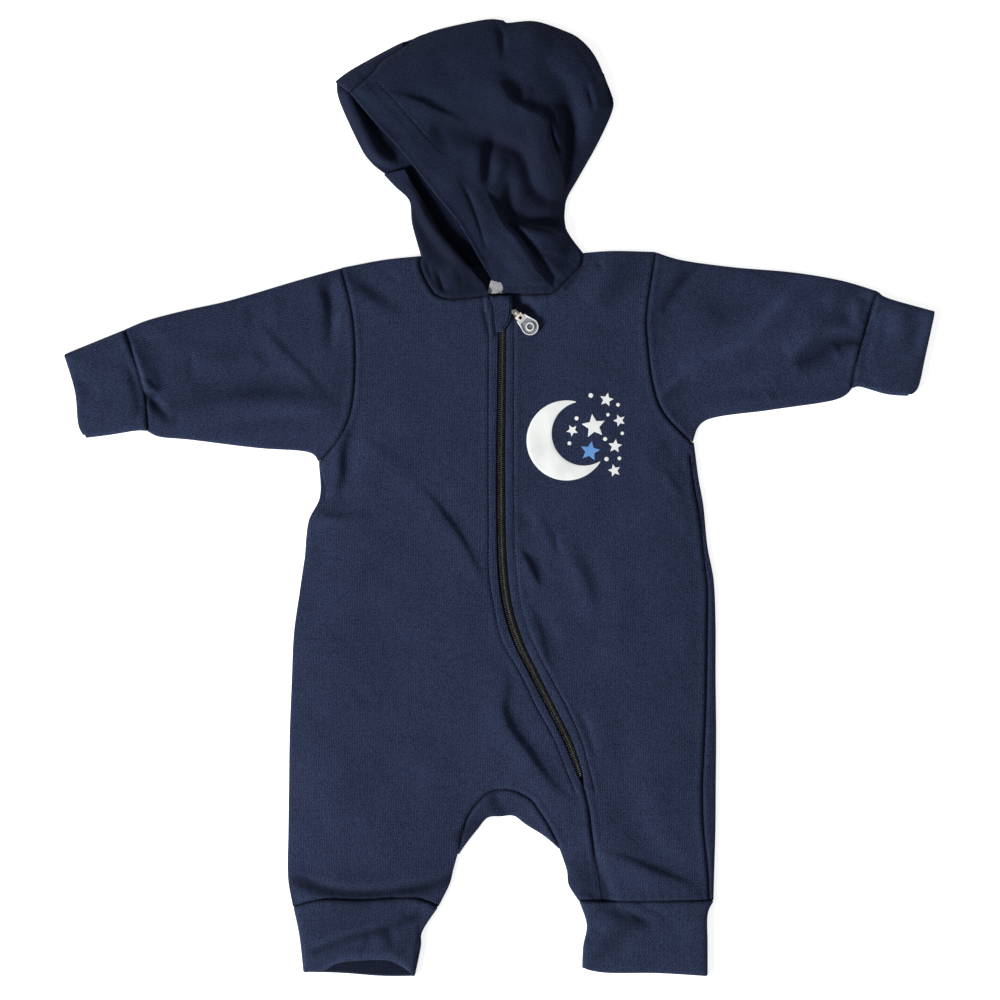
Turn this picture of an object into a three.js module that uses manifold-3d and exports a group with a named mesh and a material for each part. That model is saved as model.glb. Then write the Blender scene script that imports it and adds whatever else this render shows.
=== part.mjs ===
// A hooded baby romper, laid flat on its back. Millimetres, +Z up, hood towards +Y.
// Right and left are the wearer's own, so the right half lies at negative x.
import * as THREE from 'three';
import { mergeVertices } from 'three/addons/utils/BufferGeometryUtils.js';
import Module from 'manifold-3d';

const wasm = await Module();
wasm.setup();
const { lerp, degToRad } = THREE.MathUtils;

// Cloth and how it lies
const wall = 1.3; // one layer of sweat cloth
const cuffWall = 2.2; // cuff cloth, doubled
const seamGap = 0.3; // between neighbours at a seam
const frontRise = 5.4; // middle of the front's layer, well inside the outline
const cuffRise = 5.1; // the same on the cuffs
const hoodRise = 12.5; // the same on the hood's upper half
const flapRise = 6.6; // and on the turned-over part at its neck
const softEdge = 45; // how far in from the outline the cloth keeps rising
const hoodSoftEdge = 34;
const neckBlend = 26; // the hood takes its own height this far from the neck seam
const samePoint = 0.004; // grids share points this close

// Zip
const tapeWall = 0.9;
const tapeWidth = 11;
const tapeDrop = 0.7; // below the fronts' cloth
const coilWall = 1.4;
const guardWall = 1.1;
const labelWall = 0.8;

const colours = {
  cloth: 0x272f46,
  cuff: 0x2a3248,
  zip: 0x0c0d10,
  metal: 0xcfc9bd,
  plastic: 0xe9eef2,
  label: 0x9a9da2,
};

// Outlines and seams, each from its first to its last point. Columns: x, y.
const shoulderRight = [[-110.6, 161.7], [-81, 167.3], [-54.6, 170.1]];
const neckRightSide = [[-54.6, 170.1], [-55.3, 163.8], [-51.1, 153], [-45.5, 143.8]];
const neckRightFront = [[-45.5, 143.8], [-39.5, 140.9], [-32.2, 140], [-19.6, 140.7], [-7, 142.6]];
const neckRightEnd = [[-7, 142.6], [-0.5, 142.8]];
const neckLeft = [[5, 143.2], [28.7, 143.4], [39.2, 145], [46.2, 151.9], [57.4, 163.8], [58.8, 172.2]];
const shoulderLeft = [[58.8, 172.2], [80, 173.6], [109.9, 172.9]];
const neckBack = [[-54.6, 170.1], [-30, 164.5], [2, 162.5], [35, 165.5], [58.8, 172.2]];
const armholeRight = [
  [-110.6, 161.7], [-102.9, 131], [-100.5, 95], [-103.6, 61.6], [-112.7, 41.3], [-126, 25.9],
];
const armholeLeft = [
  [109.9, 172.9], [103.6, 131], [104.3, 108.5], [107.8, 81.2], [115.5, 60], [135.2, 39.5],
];
const sleeveTopRight = [
  [-110.6, 161.7], [-140.7, 153.3], [-188.3, 139.3], [-219.8, 132.3], [-246.4, 125.3], [-263.2, 118.3],
];
const sleeveUnderRight = [
  [-126, 25.9], [-134.4, 32.9], [-170.1, 35.7], [-215.6, 41.3], [-237.3, 43.4], [-246.4, 47.6],
];
const sleeveTopLeft = [
  [109.9, 172.9], [128.8, 167.3], [165.2, 162.4], [205.8, 158.9], [239.4, 153.3], [265.3, 145.6],
];
const sleeveUnderLeft = [[135.2, 39.5], [145.6, 55.3], [190.4, 62.3], [235.2, 69.3], [247.1, 77.7]];
const cuffSeamRight = [[-263.2, 118.3], [-253.4, 92.4], [-247.6, 68], [-246.4, 47.6]];
const cuffSeamLeft = [[265.3, 145.6], [256.2, 118.3], [249.9, 93.8], [247.1, 77.7]];
const cuffTopRight = [[-263.2, 118.3], [-304.5, 101.5]];
const cuffUnderRight = [[-246.4, 47.6], [-254.8, 47.6], [-272.3, 44.8], [-289.1, 42.7]];
const cuffEndRight = [[-304.5, 101.5], [-296.8, 75.6], [-294.3, 52], [-289.1, 42.7]];
const cuffTopLeft = [[265.3, 145.6], [273, 140.7], [305.2, 131.6]];
const cuffUnderLeft = [[247.1, 77.7], [253.4, 78.4], [271, 73.4], [286.3, 72.1]];
const cuffEndLeft = [[305.2, 131.6], [298.2, 99.4], [293.3, 78.4], [286.3, 72.1]];
const archRight = [
  [1.4, -203], [-6.3, -205.1], [-13.3, -210.7], [-18.9, -217.7], [-23.8, -227.5], [-28, -244.3],
];
const archLeft = [[1.4, -203], [12, -204.8], [22.4, -210.7], [28.7, -219.1], [35, -228.9], [41.3, -241.5]];
const crotchRight = [[1, -222.6], [-8.4, -223.6], [-15.4, -231.7], [-23.1, -241.5], [-28.7, -249.2]];
const crotchLeft = [[1, -222.6], [10.5, -222.2], [18.9, -228.2], [32.2, -236.6], [42.4, -245.2]];
const inseamRight = [[-28, -244.3], [-32.2, -259.7], [-35, -270.2], [-42.7, -285.6]];
const inseamLeft = [[41.3, -241.5], [47.6, -259.7], [49, -270.2], [56, -281.4]];
const hemSeamRight = [
  [-144.2, -285.6], [-124.6, -280.7], [-95.9, -281.2], [-60.2, -279.5], [-42.7, -285.6],
];
const hemSeamStrip = [[56, -281.4], [72.5, -282]];
const hemSeamLeft = [[72.5, -282], [110, -281.6], [150.4, -281.2]];
const legCuffSideRight = [[-144.2, -285.6], [-140, -305.9], [-137.2, -331.1]];
const legCuffInnerRight = [[-42.7, -285.6], [-53.5, -302.4], [-54.6, -313.6], [-58.8, -333.9]];
const legCuffUnderHemRight = [[-137.2, -331.1], [-110.6, -331.8], [-81.9, -333.9], [-58.8, -333.9]];
const legCuffUpperHemRight = [
  [-137.2, -331.1], [-122.5, -329.5], [-110.6, -324.1], [-81.9, -322.3], [-69.3, -326], [-58.8, -333.9],
];
const legCuffInnerLeft = [[56, -281.4], [61.3, -298], [58.8, -313.6], [58.1, -328.3]];
const legCuffSideLeft = [[150.4, -281.2], [146.3, -291], [146.3, -312.2], [146.3, -333.9]];
const legCuffHemLeft = [[58.1, -328.3], [75, -331.5], [111.3, -331.8], [146.3, -333.9]];
const hoodTop = [[-11.9, 335.3], [2.1, 335.3]];
const hoodCrownRight = [[-11.9, 335.3], [-48.3, 326.9], [-70.7, 318.5], [-102.2, 301.7], [-114.8, 292.6]];
const hoodFaceRight = [[-114.8, 292.6], [-110.6, 276.5], [-95.2, 242.9], [-86.8, 231.7], [-76.5, 227]];
const hoodNeckRight = [[-76.5, 227], [-72.8, 217.7], [-63, 209.3], [-60.9, 192.5], [-54.6, 170.1]];
const hoodBackLeft = [
  [2.1, 335.3], [48.3, 326.9], [60.2, 318.5], [70.7, 301.7], [77, 284.9], [79.8, 274.4],
];
const hoodNapeLeft = [
  [79.8, 274.4], [70, 251.3], [56, 226.1], [46.9, 209.3], [45.5, 194], [49.7, 184.1], [58.8, 172.2],
];
const crownSeam = [[-104.3, 284.2], [-89.6, 296.8], [-81.9, 306.4], [-68.5, 315]];
const crownOver = [
  [-68.5, 315], [-48.3, 326.9], [-11.9, 335.3], [2.1, 335.3], [48.3, 326.9], [70.7, 301.7], [77, 284.9],
];
const hoodNapeUpper = [[77, 284.9], ...hoodNapeLeft];
const faceEdgeLeft = [
  [-104.3, 284.2], [-85.4, 261.8], [-67.9, 242.9], [-41.3, 209.3], [-27.3, 191.8], [-13.3, 167.3],
  [-4.2, 152.8],
];
const faceEdgeEnd = [[-4.2, 152.8], [0.7, 152.2], [3, 148], [2, 144.6]];
const neckLeftStart = [[2, 144.6], [5, 143.2]];
const flapTop = [[-76.5, 227], [-66, 230.6]];
const flapEdge = [[-66, 230.6], [-48.3, 216.3], [-34.3, 195.3], [-20.3, 174.3], [-5.6, 149.8], [-7, 142.6]];

// Trunk and legs, level by level from the arms to the gusset and on to the leg cuffs:
// where the front's and the back's edges lie at the right side, and at the left side
// the seam and the fold of the back's cloth beyond it.
const trunkColumns = ['y', 'frontSide', 'backSide', 'sideSeam', 'sideFold'];
const trunkLevels = [
  [30, -126, -126, 133.9, 136.7],
  [5, -120.8, -125.4, 137.2, 140.1],
  [-12, -131.5, -133.2, 140.6, 143.3],
  [-40, -136.2, -136.2, 143.4, 146.2],
  [-62, -139.4, -139.4, 146, 150.5],
  [-92, -143.5, -143.5, 145.8, 151.9],
  [-125, -145, -145, 145.4, 151.9],
  [-165, -146.5, -146.5, 144.2, 152.3],
  [-203, -147, -147, 142.4, 152],
  [-230, -147.4, -147.4, 143.2, 151.8],
  [-262, -147.6, -147.6, 146.4, 150.9],
  [-281, -144.2, -144.2, 147.2, 150.4],
];

// Zip opening between the fronts: its middle and its width, measured along x.
const zipColumns = ['y', 'x', 'width'];
const zipLevels = [
  [142.8, 2.2, 5.4],
  [117, 2.4, 5.5],
  [67, 1.8, 5.9],
  [30, 1.4, 6.2],
  [-28, 1.7, 6.4],
  [-52, 2.9, 6.9],
  [-75, 6, 7],
  [-99, 13.3, 7.2],
  [-122, 24.4, 6.7],
  [-145, 36, 6.4],
  [-168, 47.6, 6.2],
  [-190, 55.9, 4.4],
  [-203, 59.5, 0],
];
const legSeam = [[59.5, -203], [63, -217.7], [65.1, -235.2], [68.5, -258], [72.5, -282]];

// Folds, each from one point to another; a trough has a negative height.
// Columns: x1, y1, x2, y2, width, height.
const bodyFolds = [
  [-66, 10, -41, -8, 12, -1.3], // under the right chest
  [-41, -8, -22, -33, 12, -1.4],
  [-22, -33, -15, -64, 11, -1],
  [16, -41, 27, -61, 9, -1], // beside the zip's bend
  [46, -34, 63, -57, 9, -1],
  [5, -127, 8, -145, 9, -0.9], // right of the zip's foot
  [8, -145, 22, -168, 9, -1.1],
  [22, -168, 40, -197, 9, -1.2],
  [-141, -269, -108, -273, 8, -1.2], // above the leg cuffs
  [-108, -273, -41, -267, 8, -1.2],
  [72, -249, 99, -258, 8, -1.2],
  [99, -258, 134, -269, 8, -1.1],
  [-107, 36, -112, 6, 9, -1.2], // at the right armpit
  [115, 75, 157, 109, 10, 0.6], // left sleeve, from the armpit upwards
  [157, 109, 211, 139, 10, 0.5],
  [138, 163, 130, 148, 8, -1.1],
  [-122, 157, -115, 131, 8, -1],
  [-250, 75, -234, 66, 7, -1.2], // gathers at the sleeve cuffs
  [253, 115, 244, 107, 7, -1.2],
  [70, 172, 85, 141, 9, -0.9],
];
const hoodFolds = [
  [-1, 332, 4, 310, 9, -3], // long trough down from the crown
  [4, 310, 24, 273, 10, -4],
  [24, 273, 41, 243, 9, -3.5],
  [4, 262, 28, 261, 11, 4], // the ridge that rolls over it
  [28, 261, 40, 232, 9, 5],
  [40, 232, 42, 214, 7, 3],
  [-8, 250, -4, 214, 10, -4.5], // pocket behind the hem
  [-50, 262, -10, 240, 12, 2.2], // broad swell beside it
  [-16, 227, -5, 207, 8, 3], // roll from the swell to the neck
  [-5, 207, 14, 178, 8, 4],
  [14, 178, 34, 157, 7, 2.5],
  [8, 193, 39, 189, 7, -2.6], // short fold across the nape
  [-92, 276, -48, 231, 9, 1.2], // hem band
];

const easeOf = (value) => value * value * (3 - 2 * value); // evenly from 0 to 1
const clamp = (value, low, high) => Math.min(high, Math.max(low, value));

// One column of a table of levels, as a smooth function of the table's first column.
function column(names, rows, name) {
  const at = names.indexOf(name);
  const slope = (i) => {
    const low = rows[Math.max(0, i - 1)];
    const high = rows[Math.min(rows.length - 1, i + 1)];
    return (high[at] - low[at]) / (high[0] - low[0]);
  };
  return (y) => {
    const found = rows.findIndex((row) => row[0] < y);
    const i = found < 0 ? rows.length - 2 : Math.max(0, found - 1);
    const span = rows[i + 1][0] - rows[i][0];
    const t = clamp((y - rows[i][0]) / span, 0, 1);
    const bend = t * (1 - t);
    const ease = easeOf(t);
    const lean = slope(i) * (1 - t) - slope(i + 1) * t;
    return rows[i][at] * (1 - ease) + rows[i + 1][at] * ease + lean * span * bend;
  };
}

// A smooth edge through one or more lists of points, with a corner where two lists meet.
function edge(lists, knots = [0, 1]) {
  const curves = lists.map((list) => new THREE.SplineCurve(list.map(([x, y]) => new THREE.Vector2(x, y))));
  return (t) => {
    const i = clamp(knots.findLastIndex((knot) => knot <= t), 0, curves.length - 1);
    return curves[i].getPointAt(clamp((t - knots[i]) / (knots[i + 1] - knots[i]), 0, 1));
  };
}

const straight = (from, to) => (t) => from.clone().lerp(to, t);

// The plan of a panel inside four edges: left and right run downwards, the others left to right.
function panel(left, right, top, bottom) {
  return (u, v) => {
    const across = left(v).lerp(right(v), u);
    const down = top(u).lerp(bottom(u), v);
    const upper = left(0).lerp(right(0), u);
    const lower = left(1).lerp(right(1), u);
    return across.add(down).sub(upper.lerp(lower, v));
  };
}

// The garment's whole outline, for the distance of any place from it.
const outline = [
  shoulderRight, sleeveTopRight, cuffTopRight, cuffEndRight, cuffUnderRight, sleeveUnderRight,
  trunkLevels.map((row) => [row[2], row[0]]),
  legCuffSideRight, legCuffUnderHemRight, legCuffInnerRight, inseamRight, crotchRight,
  crotchLeft, inseamLeft, legCuffInnerLeft, legCuffHemLeft, legCuffSideLeft,
  trunkLevels.map((row) => [row[4], row[0]]),
  sleeveUnderLeft, cuffUnderLeft, cuffEndLeft, cuffTopLeft, sleeveTopLeft, shoulderLeft,
  hoodNapeLeft, hoodBackLeft, hoodTop, hoodCrownRight, hoodFaceRight, hoodNeckRight,
].flatMap((list) => chords(list));
const neckSeam = [neckRightSide, neckRightFront, neckLeft].flatMap((list) => chords(list));

function chords(list) {
  const points = new THREE.SplineCurve(list.map(([x, y]) => new THREE.Vector2(x, y))).getPoints(24);
  return points.slice(1).map((point, i) => [points[i], point]);
}

function distanceTo(from, to, place) {
  const along = to.clone().sub(from);
  const t = clamp(place.clone().sub(from).dot(along) / along.lengthSq(), 0, 1);
  return from.clone().addScaledVector(along, t).distanceTo(place);
}

const nearest = (lines, place) => Math.min(...lines.map(([from, to]) => distanceTo(from, to, place)));

function foldsAt(folds, place) {
  return folds.reduce((sum, [x1, y1, x2, y2, width, height]) => {
    const away = distanceTo(new THREE.Vector2(x1, y1), new THREE.Vector2(x2, y2), place);
    return sum + height * Math.exp(-((away / width) ** 2));
  }, 0);
}

// Heights of the middle of each layer. Lower layers lie flat on the surface.
const stacked = (layer) => layer * 1.5 + seamGap;
const rising = (place, reach) => 1 - (1 - clamp(nearest(outline, place) / reach, 0, 1)) ** 2.2;

function frontHeight(place) {
  const low = stacked(wall);
  const share = rising(place, softEdge);
  const full = (frontRise - low) * share + foldsAt(bodyFolds, place) * share;
  return low + clamp(full, 0, frontRise + 0.4 - low);
}

function cuffHeight(place) {
  const low = stacked(cuffWall);
  return low + (cuffRise - low) * rising(place, softEdge / 2);
}

function hoodHeight(place) {
  const low = stacked(wall);
  const share = rising(place, hoodSoftEdge);
  const dome = low + Math.max(0, (hoodRise - low) * share + foldsAt(hoodFolds, place) * share);
  const blend = easeOf(clamp(nearest(neckSeam, place) / neckBlend, 0, 1));
  return frontHeight(place) * (1 - blend) + dome * blend;
}

function flapHeight(place) {
  const blend = easeOf(clamp(nearest(neckSeam, place) / neckBlend, 0, 1));
  const low = stacked(wall);
  const own = low + (flapRise - low) * rising(place, hoodSoftEdge);
  return frontHeight(place) * (1 - blend) + own * blend;
}

const flat = (layer) => () => layer / 2;
const lift = (place, height) => new THREE.Vector3(place.x, place.y, height(place));

// A grid of points on a panel: one row for each of vs, one point for each of us.
const gridOn = (plan, us, vs, height) => vs.map((v) => us.map((u) => lift(plan(u, v), height)));

// The same, where the columns start at other shares of the top edge than of the bottom one
const fannedGrid = (plan, topUs, bottomUs, vs, height) => vs.map((v) => (
  topUs.map((u, i) => lift(plan(lerp(u, bottomUs[i], Math.sqrt(v)), v), height))));

// The fold from the lower layer up to the upper one. It starts above inner, in from the
// outline's point by the fold's own size, and bulges out towards that point.
function foldAt(outer, inward, layer) {
  const radius = (layer + seamGap) / 2;
  return [-90, -45, 0, 45, 90].map((degrees) => {
    const angle = degToRad(degrees);
    const inset = layer / 2 + radius * (1 - Math.cos(angle));
    const place = outer.clone().addScaledVector(inward, inset);
    return new THREE.Vector3(place.x, place.y, layer / 2 + radius * (1 + Math.sin(angle)));
  });
}
const foldInset = (layer) => layer / 2 + (layer + seamGap) / 2;

// A sheet of cloth as a closed wall: the grids share points where they join, each point
// moves half a layer to either side, and free edges draw in by half a seam gap.
function cloth(grids, layer) {
  const points = [];
  const faces = [];
  const indexOf = (point) => {
    const known = points.findIndex((other) => other.distanceTo(point) < samePoint);
    return known < 0 ? points.push(point.clone()) - 1 : known;
  };
  const addFace = (...corners) => {
    if (new Set(corners).size === 3) faces.push(corners);
  };
  for (const grid of grids) {
    const ids = grid.map((row) => row.map(indexOf));
    for (let r = 0; r + 1 < ids.length; r += 1) {
      for (let c = 0; c + 1 < ids[r].length; c += 1) {
        addFace(ids[r][c], ids[r + 1][c], ids[r][c + 1]);
        addFace(ids[r][c + 1], ids[r + 1][c], ids[r + 1][c + 1]);
      }
    }
  }
  const normals = facingNormals(points, faces);
  const freeEdges = rimEdges(faces);
  drawIn(points, faces, freeEdges);
  const half = layer / 2;
  const upper = points.map((point, i) => point.clone().addScaledVector(normals[i], half));
  const lower = points.map((point, i) => point.clone().addScaledVector(normals[i], -half));
  const shift = points.length;
  const index = [];
  faces.forEach(([a, b, c]) => index.push(a, b, c, a + shift, c + shift, b + shift));
  freeEdges.forEach(([a, b]) => index.push(b, a, a + shift, b, a + shift, b + shift));
  return solid([...upper, ...lower], index);
}

// Each point's normal, long enough to keep the layer's thickness round a fold, and upright
// on the nearly level stretches so that neighbours stay apart.
function facingNormals(points, faces) {
  const sums = points.map(() => new THREE.Vector3());
  const around = points.map(() => []);
  for (const face of faces) {
    const [a, b, c] = face.map((i) => points[i]);
    const normal = b.clone().sub(a).cross(c.clone().sub(a)).normalize();
    face.forEach((i, k) => {
      const one = points[face[(k + 1) % 3]].clone().sub(points[i]);
      const two = points[face[(k + 2) % 3]].clone().sub(points[i]);
      sums[i].addScaledVector(normal, one.angleTo(two));
      around[i].push(normal);
    });
  }
  return sums.map((sum, i) => {
    const normal = sum.normalize();
    const level = Math.abs(normal.z);
    if (level > 0.75) return new THREE.Vector3(0, 0, Math.sign(normal.z) / (level > 0.95 ? 1 : level));
    const lean = around[i].reduce((total, other) => total + other.dot(normal), 0) / around[i].length;
    return normal.multiplyScalar(1 / clamp(lean, 0.8, 1));
  });
}

// Edges with a face on one side only, in that face's direction.
function rimEdges(faces) {
  const used = new Map();
  for (const [a, b, c] of faces) {
    for (const pair of [[a, b], [b, c], [c, a]]) used.set(pair.join(), pair);
  }
  return [...used.values()].filter(([a, b]) => !used.has([b, a].join()));
}

function drawIn(points, faces, freeEdges) {
  const inward = new Map();
  const facesOf = new Map();
  for (const [a, b, c] of faces) {
    facesOf.set([a, b].join(), c);
    facesOf.set([b, c].join(), a);
    facesOf.set([c, a].join(), b);
  }
  for (const pair of freeEdges) {
    const [from, to] = pair.map((i) => points[i]);
    const along = to.clone().sub(from).normalize();
    const side = points[facesOf.get(pair.join())].clone().sub(from);
    side.addScaledVector(along, -side.dot(along)).normalize();
    for (const i of pair) inward.set(i, [...(inward.get(i) ?? []), side]);
  }
  for (const [i, sides] of inward) {
    const mean = sides.reduce((sum, side) => sum.add(side), new THREE.Vector3()).normalize();
    points[i].addScaledVector(mean, seamGap / 2 / clamp(mean.dot(sides[0]), 0.5, 1));
  }
}

function solid(points, index) {
  const geometry = new THREE.BufferGeometry();
  const values = points.flatMap((point) => point.toArray());
  geometry.setAttribute('position', new THREE.Float32BufferAttribute(values, 3));
  let volume = 0;
  for (let i = 0; i < index.length; i += 3) {
    const [a, b, c] = [0, 1, 2].map((k) => points[index[i + k]]);
    volume += a.dot(b.clone().cross(c));
  }
  geometry.setIndex(volume > 0 ? index : index.reverse());
  const open = geometry.toNonIndexed();
  open.computeVertexNormals();
  return open;
}

const romper = new THREE.Group();
romper.name = 'baby_romper';

function add(name, geometry, colour, roughness = 0.9, metalness = 0) {
  const material = new THREE.MeshStandardMaterial({ color: colour, roughness, metalness });
  const mesh = new THREE.Mesh(geometry, material);
  mesh.name = name;
  romper.add(mesh);
  return mesh;
}

// Where the rows and columns of neighbouring panels meet
const armSteps = [0, 0.12, 0.26, 0.42, 0.58, 0.74, 0.88, 1];
const sideSteps = [0, 0.1, 0.2, 0.3, 0.36, 0.43, 0.5, 0.57, 0.65, 0.75, 0.86, 0.945, 1];
const legSteps = [0, 0.1, 0.2, 0.3, 0.4, 0.5, 0.62, 0.75, 0.87, 1];
const neckSteps = [0, 0.14, 0.3, 0.5, 0.75, 1];
const thirds = [0, 0.33, 0.67, 1];
const halves = [0, 0.5, 1];
const neckBackSteps = [0, 0.25, 0.55, 0.78, 1];
const crownSteps = [0, 0.25, 0.5, 0.75, 1];
const legColumns = [0, 0.06, 0.17, 0.31, 0.45, 0.58, 0.72, 0.86, 1];

const trunkColumn = (name) => column(trunkColumns, trunkLevels, name);
const zipColumn = (name) => column(zipColumns, zipLevels, name);
const armpitY = trunkLevels[0][0];
const forkY = archRight[0][1];
const hemY = trunkLevels.at(-1)[0];
const neckY = zipLevels[0][0];

// Edges that follow a column of levels, from one height to another
const levelEdge = (find, from, to) => (t) => {
  const y = lerp(from, to, t);
  return new THREE.Vector2(find(y), y);
};
const zipEdge = (side) => (y) => zipColumn('x')(y) + (side * zipColumn('width')(y)) / 2;

function startingAt(side, from) {
  const shift = from.clone().sub(side(0));
  return (t) => side(t).addScaledVector(shift, 1 - t);
}

function endingAt(side, to) {
  const shift = to.clone().sub(side(1));
  return (t) => side(t).addScaledVector(shift, t);
}

// The seam to a leg cuff, straight across on the back
const hemUnder = (from, to) => straight(new THREE.Vector2(...from), new THREE.Vector2(...to));

// Leg's inner edge: down the gusset's seam, then the inseam
const legInner = (arch, inseam) => edge([arch, inseam], [0, 0.5, 1]);

function makeRightFront() {
  const armhole = edge([armholeRight]);
  const zipUpper = levelEdge(zipEdge(-1), neckY, armpitY);
  const zipLower = levelEdge(zipEdge(-1), armpitY, forkY);
  const side = startingAt(levelEdge(trunkColumn('frontSide'), armpitY, forkY), armhole(1));
  const corner = 0.42;
  const sideEnd = 0.58;
  const stub = 0.95;
  const knots = [0, corner, sideEnd, stub, 1];
  const shoulderAndNeck = edge([shoulderRight, neckRightSide, neckRightFront, neckRightEnd], knots);
  const top = endingAt(shoulderAndNeck, zipUpper(0));
  const fork = new THREE.Vector2(...archRight[0]);
  const forkShare = (fork.x - side(1).x) / (zipLower(1).x - side(1).x);
  const stripColumns = [0, 0.33, 0.67, 1];
  const us = [
    ...legColumns.map((u) => u * forkShare),
    ...stripColumns.slice(1).map((u) => lerp(forkShare, 1, u)),
  ];
  const neckShares = [(corner + sideEnd) / 2, ...thirds.map((t) => lerp(sideEnd, stub, t))];
  const topShares = [0, 0.1, 0.21, 0.32, corner, ...neckShares, 0.975, 1];
  const armpitRow = straight(armhole(1), zipUpper(1));
  const chest = panel(armhole, zipUpper, top, armpitRow);
  const belly = panel(side, zipLower, armpitRow, straight(side(1), zipLower(1)));
  const hem = edge([hemSeamRight]);
  const legSide = endingAt(levelEdge(trunkColumn('frontSide'), forkY, hemY), hem(0));
  const leg = panel(legSide, legInner(archRight, inseamRight), straight(side(1), fork), hem);
  const strip = panel(
    legInner(archLeft, inseamLeft),
    edge([legSeam]),
    straight(fork, zipLower(1)),
    edge([hemSeamStrip]),
  );
  const grids = [
    fannedGrid(chest, topShares, us, armSteps, frontHeight),
    gridOn(belly, us, sideSteps, frontHeight),
    gridOn(leg, legColumns, legSteps, frontHeight),
    gridOn(strip, stripColumns, legSteps, frontHeight),
  ];
  add('front_right', cloth(grids, wall), colours.cloth);
}

function makeLeftFront() {
  const zipUpper = levelEdge(zipEdge(1), neckY, armpitY);
  const zipLower = levelEdge(zipEdge(1), armpitY, forkY);
  const seamTop = new THREE.Vector2(trunkColumn('sideSeam')(armpitY), armholeLeft.at(-1)[1]);
  const armhole = endingAt(edge([armholeLeft]), seamTop);
  const corner = 0.55;
  const top = startingAt(edge([neckLeft, shoulderLeft], [0, corner, 1]), zipUpper(0));
  const us = [...neckSteps.map((t) => corner * t), 0.66, 0.78, 0.9, 1];
  const armpitRow = straight(zipUpper(1), seamTop);
  const side = startingAt(levelEdge(trunkColumn('sideSeam'), armpitY, forkY), seamTop);
  const forkRow = straight(zipLower(1), side(1));
  const chest = panel(zipUpper, armhole, top, armpitRow);
  const belly = panel(zipLower, side, armpitRow, forkRow);
  const legSide = levelEdge(trunkColumn('sideSeam'), forkY, hemY);
  const hem = endingAt(edge([hemSeamLeft]), legSide(1));
  const leg = panel(edge([legSeam]), legSide, forkRow, hem);
  const grids = [
    gridOn(chest, us, armSteps, frontHeight),
    gridOn(belly, us, sideSteps, frontHeight),
    gridOn(leg, us, legSteps, frontHeight),
  ];
  add('front_left', cloth(grids, wall), colours.cloth);
}

// The strip of the back's cloth that folds round the left side to the seam on the front
function sideWrap(fold, seam, vs) {
  return vs.map((v) => {
    const outer = fold(v);
    const inner = seam(v);
    return [...foldAt(outer, new THREE.Vector2(-1, 0), wall), lift(inner, frontHeight)];
  });
}

function makeBack() {
  const armholeR = edge([armholeRight]);
  const armholeL = edge([armholeLeft]);
  const rightSide = startingAt(levelEdge(trunkColumn('backSide'), armpitY, forkY), armholeR(1));
  const foldTop = armholeL(1).clone().add(new THREE.Vector2(foldInset(wall), 0));
  const fold = startingAt(levelEdge(trunkColumn('sideFold'), armpitY, forkY), foldTop);
  const inset = (side) => (t) => side(t).sub(new THREE.Vector2(foldInset(wall), 0));
  const seamTop = new THREE.Vector2(trunkColumn('sideSeam')(armpitY), armholeLeft.at(-1)[1]);
  const seam = startingAt(levelEdge(trunkColumn('sideSeam'), armpitY, forkY), seamTop);
  const leftSide = inset(fold);
  const [neckFrom, neckTo] = [0.25, 0.7];
  const top = edge([shoulderRight, neckBack, shoulderLeft], [0, neckFrom, neckTo, 1]);
  const us = [0, ...neckBackSteps.map((t) => lerp(neckFrom, neckTo, t)), 1];
  const forkColumn = 3;
  const armpitRow = straight(armholeR(1), leftSide(0));
  const fork = new THREE.Vector2(...archRight[0]);
  const forkShare = (fork.x - rightSide(1).x) / (leftSide(1).x - rightSide(1).x);
  const rightUs = us.slice(0, forkColumn + 1).map((u) => u / us[forkColumn]);
  const leftUs = us.slice(forkColumn).map((u) => (u - us[forkColumn]) / (1 - us[forkColumn]));
  const lowerUs = [
    ...rightUs.slice(0, -1).map((u) => u * forkShare),
    ...leftUs.map((u) => lerp(forkShare, 1, u)),
  ];
  const chest = panel(armholeR, armholeL, top, armpitRow);
  const seat = panel(rightSide, leftSide, armpitRow, straight(rightSide(1), leftSide(1)));
  const hemRight = hemUnder(hemSeamRight[0], hemSeamRight.at(-1));
  const rightLeg = panel(
    endingAt(levelEdge(trunkColumn('backSide'), forkY, hemY), hemRight(0)),
    legInner(archRight, inseamRight),
    straight(rightSide(1), fork),
    hemRight,
  );
  const foldLow = levelEdge(trunkColumn('sideFold'), forkY, hemY);
  const leftEdge = inset(foldLow);
  const leftLeg = panel(
    legInner(archLeft, inseamLeft),
    leftEdge,
    straight(fork, leftSide(1)),
    endingAt(hemUnder(hemSeamStrip[0], hemSeamLeft.at(-1)), leftEdge(1)),
  );
  const down = flat(wall);
  const grids = [
    fannedGrid(chest, us, lowerUs, armSteps, down),
    gridOn(seat, lowerUs, sideSteps, down),
    gridOn(rightLeg, rightUs, legSteps, down),
    gridOn(leftLeg, leftUs, legSteps, down),
    sideWrap(fold, seam, sideSteps),
    sideWrap(foldLow, levelEdge(trunkColumn('sideSeam'), forkY, hemY), legSteps),
  ];
  add('back', cloth(grids, wall), colours.cloth);
}

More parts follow.
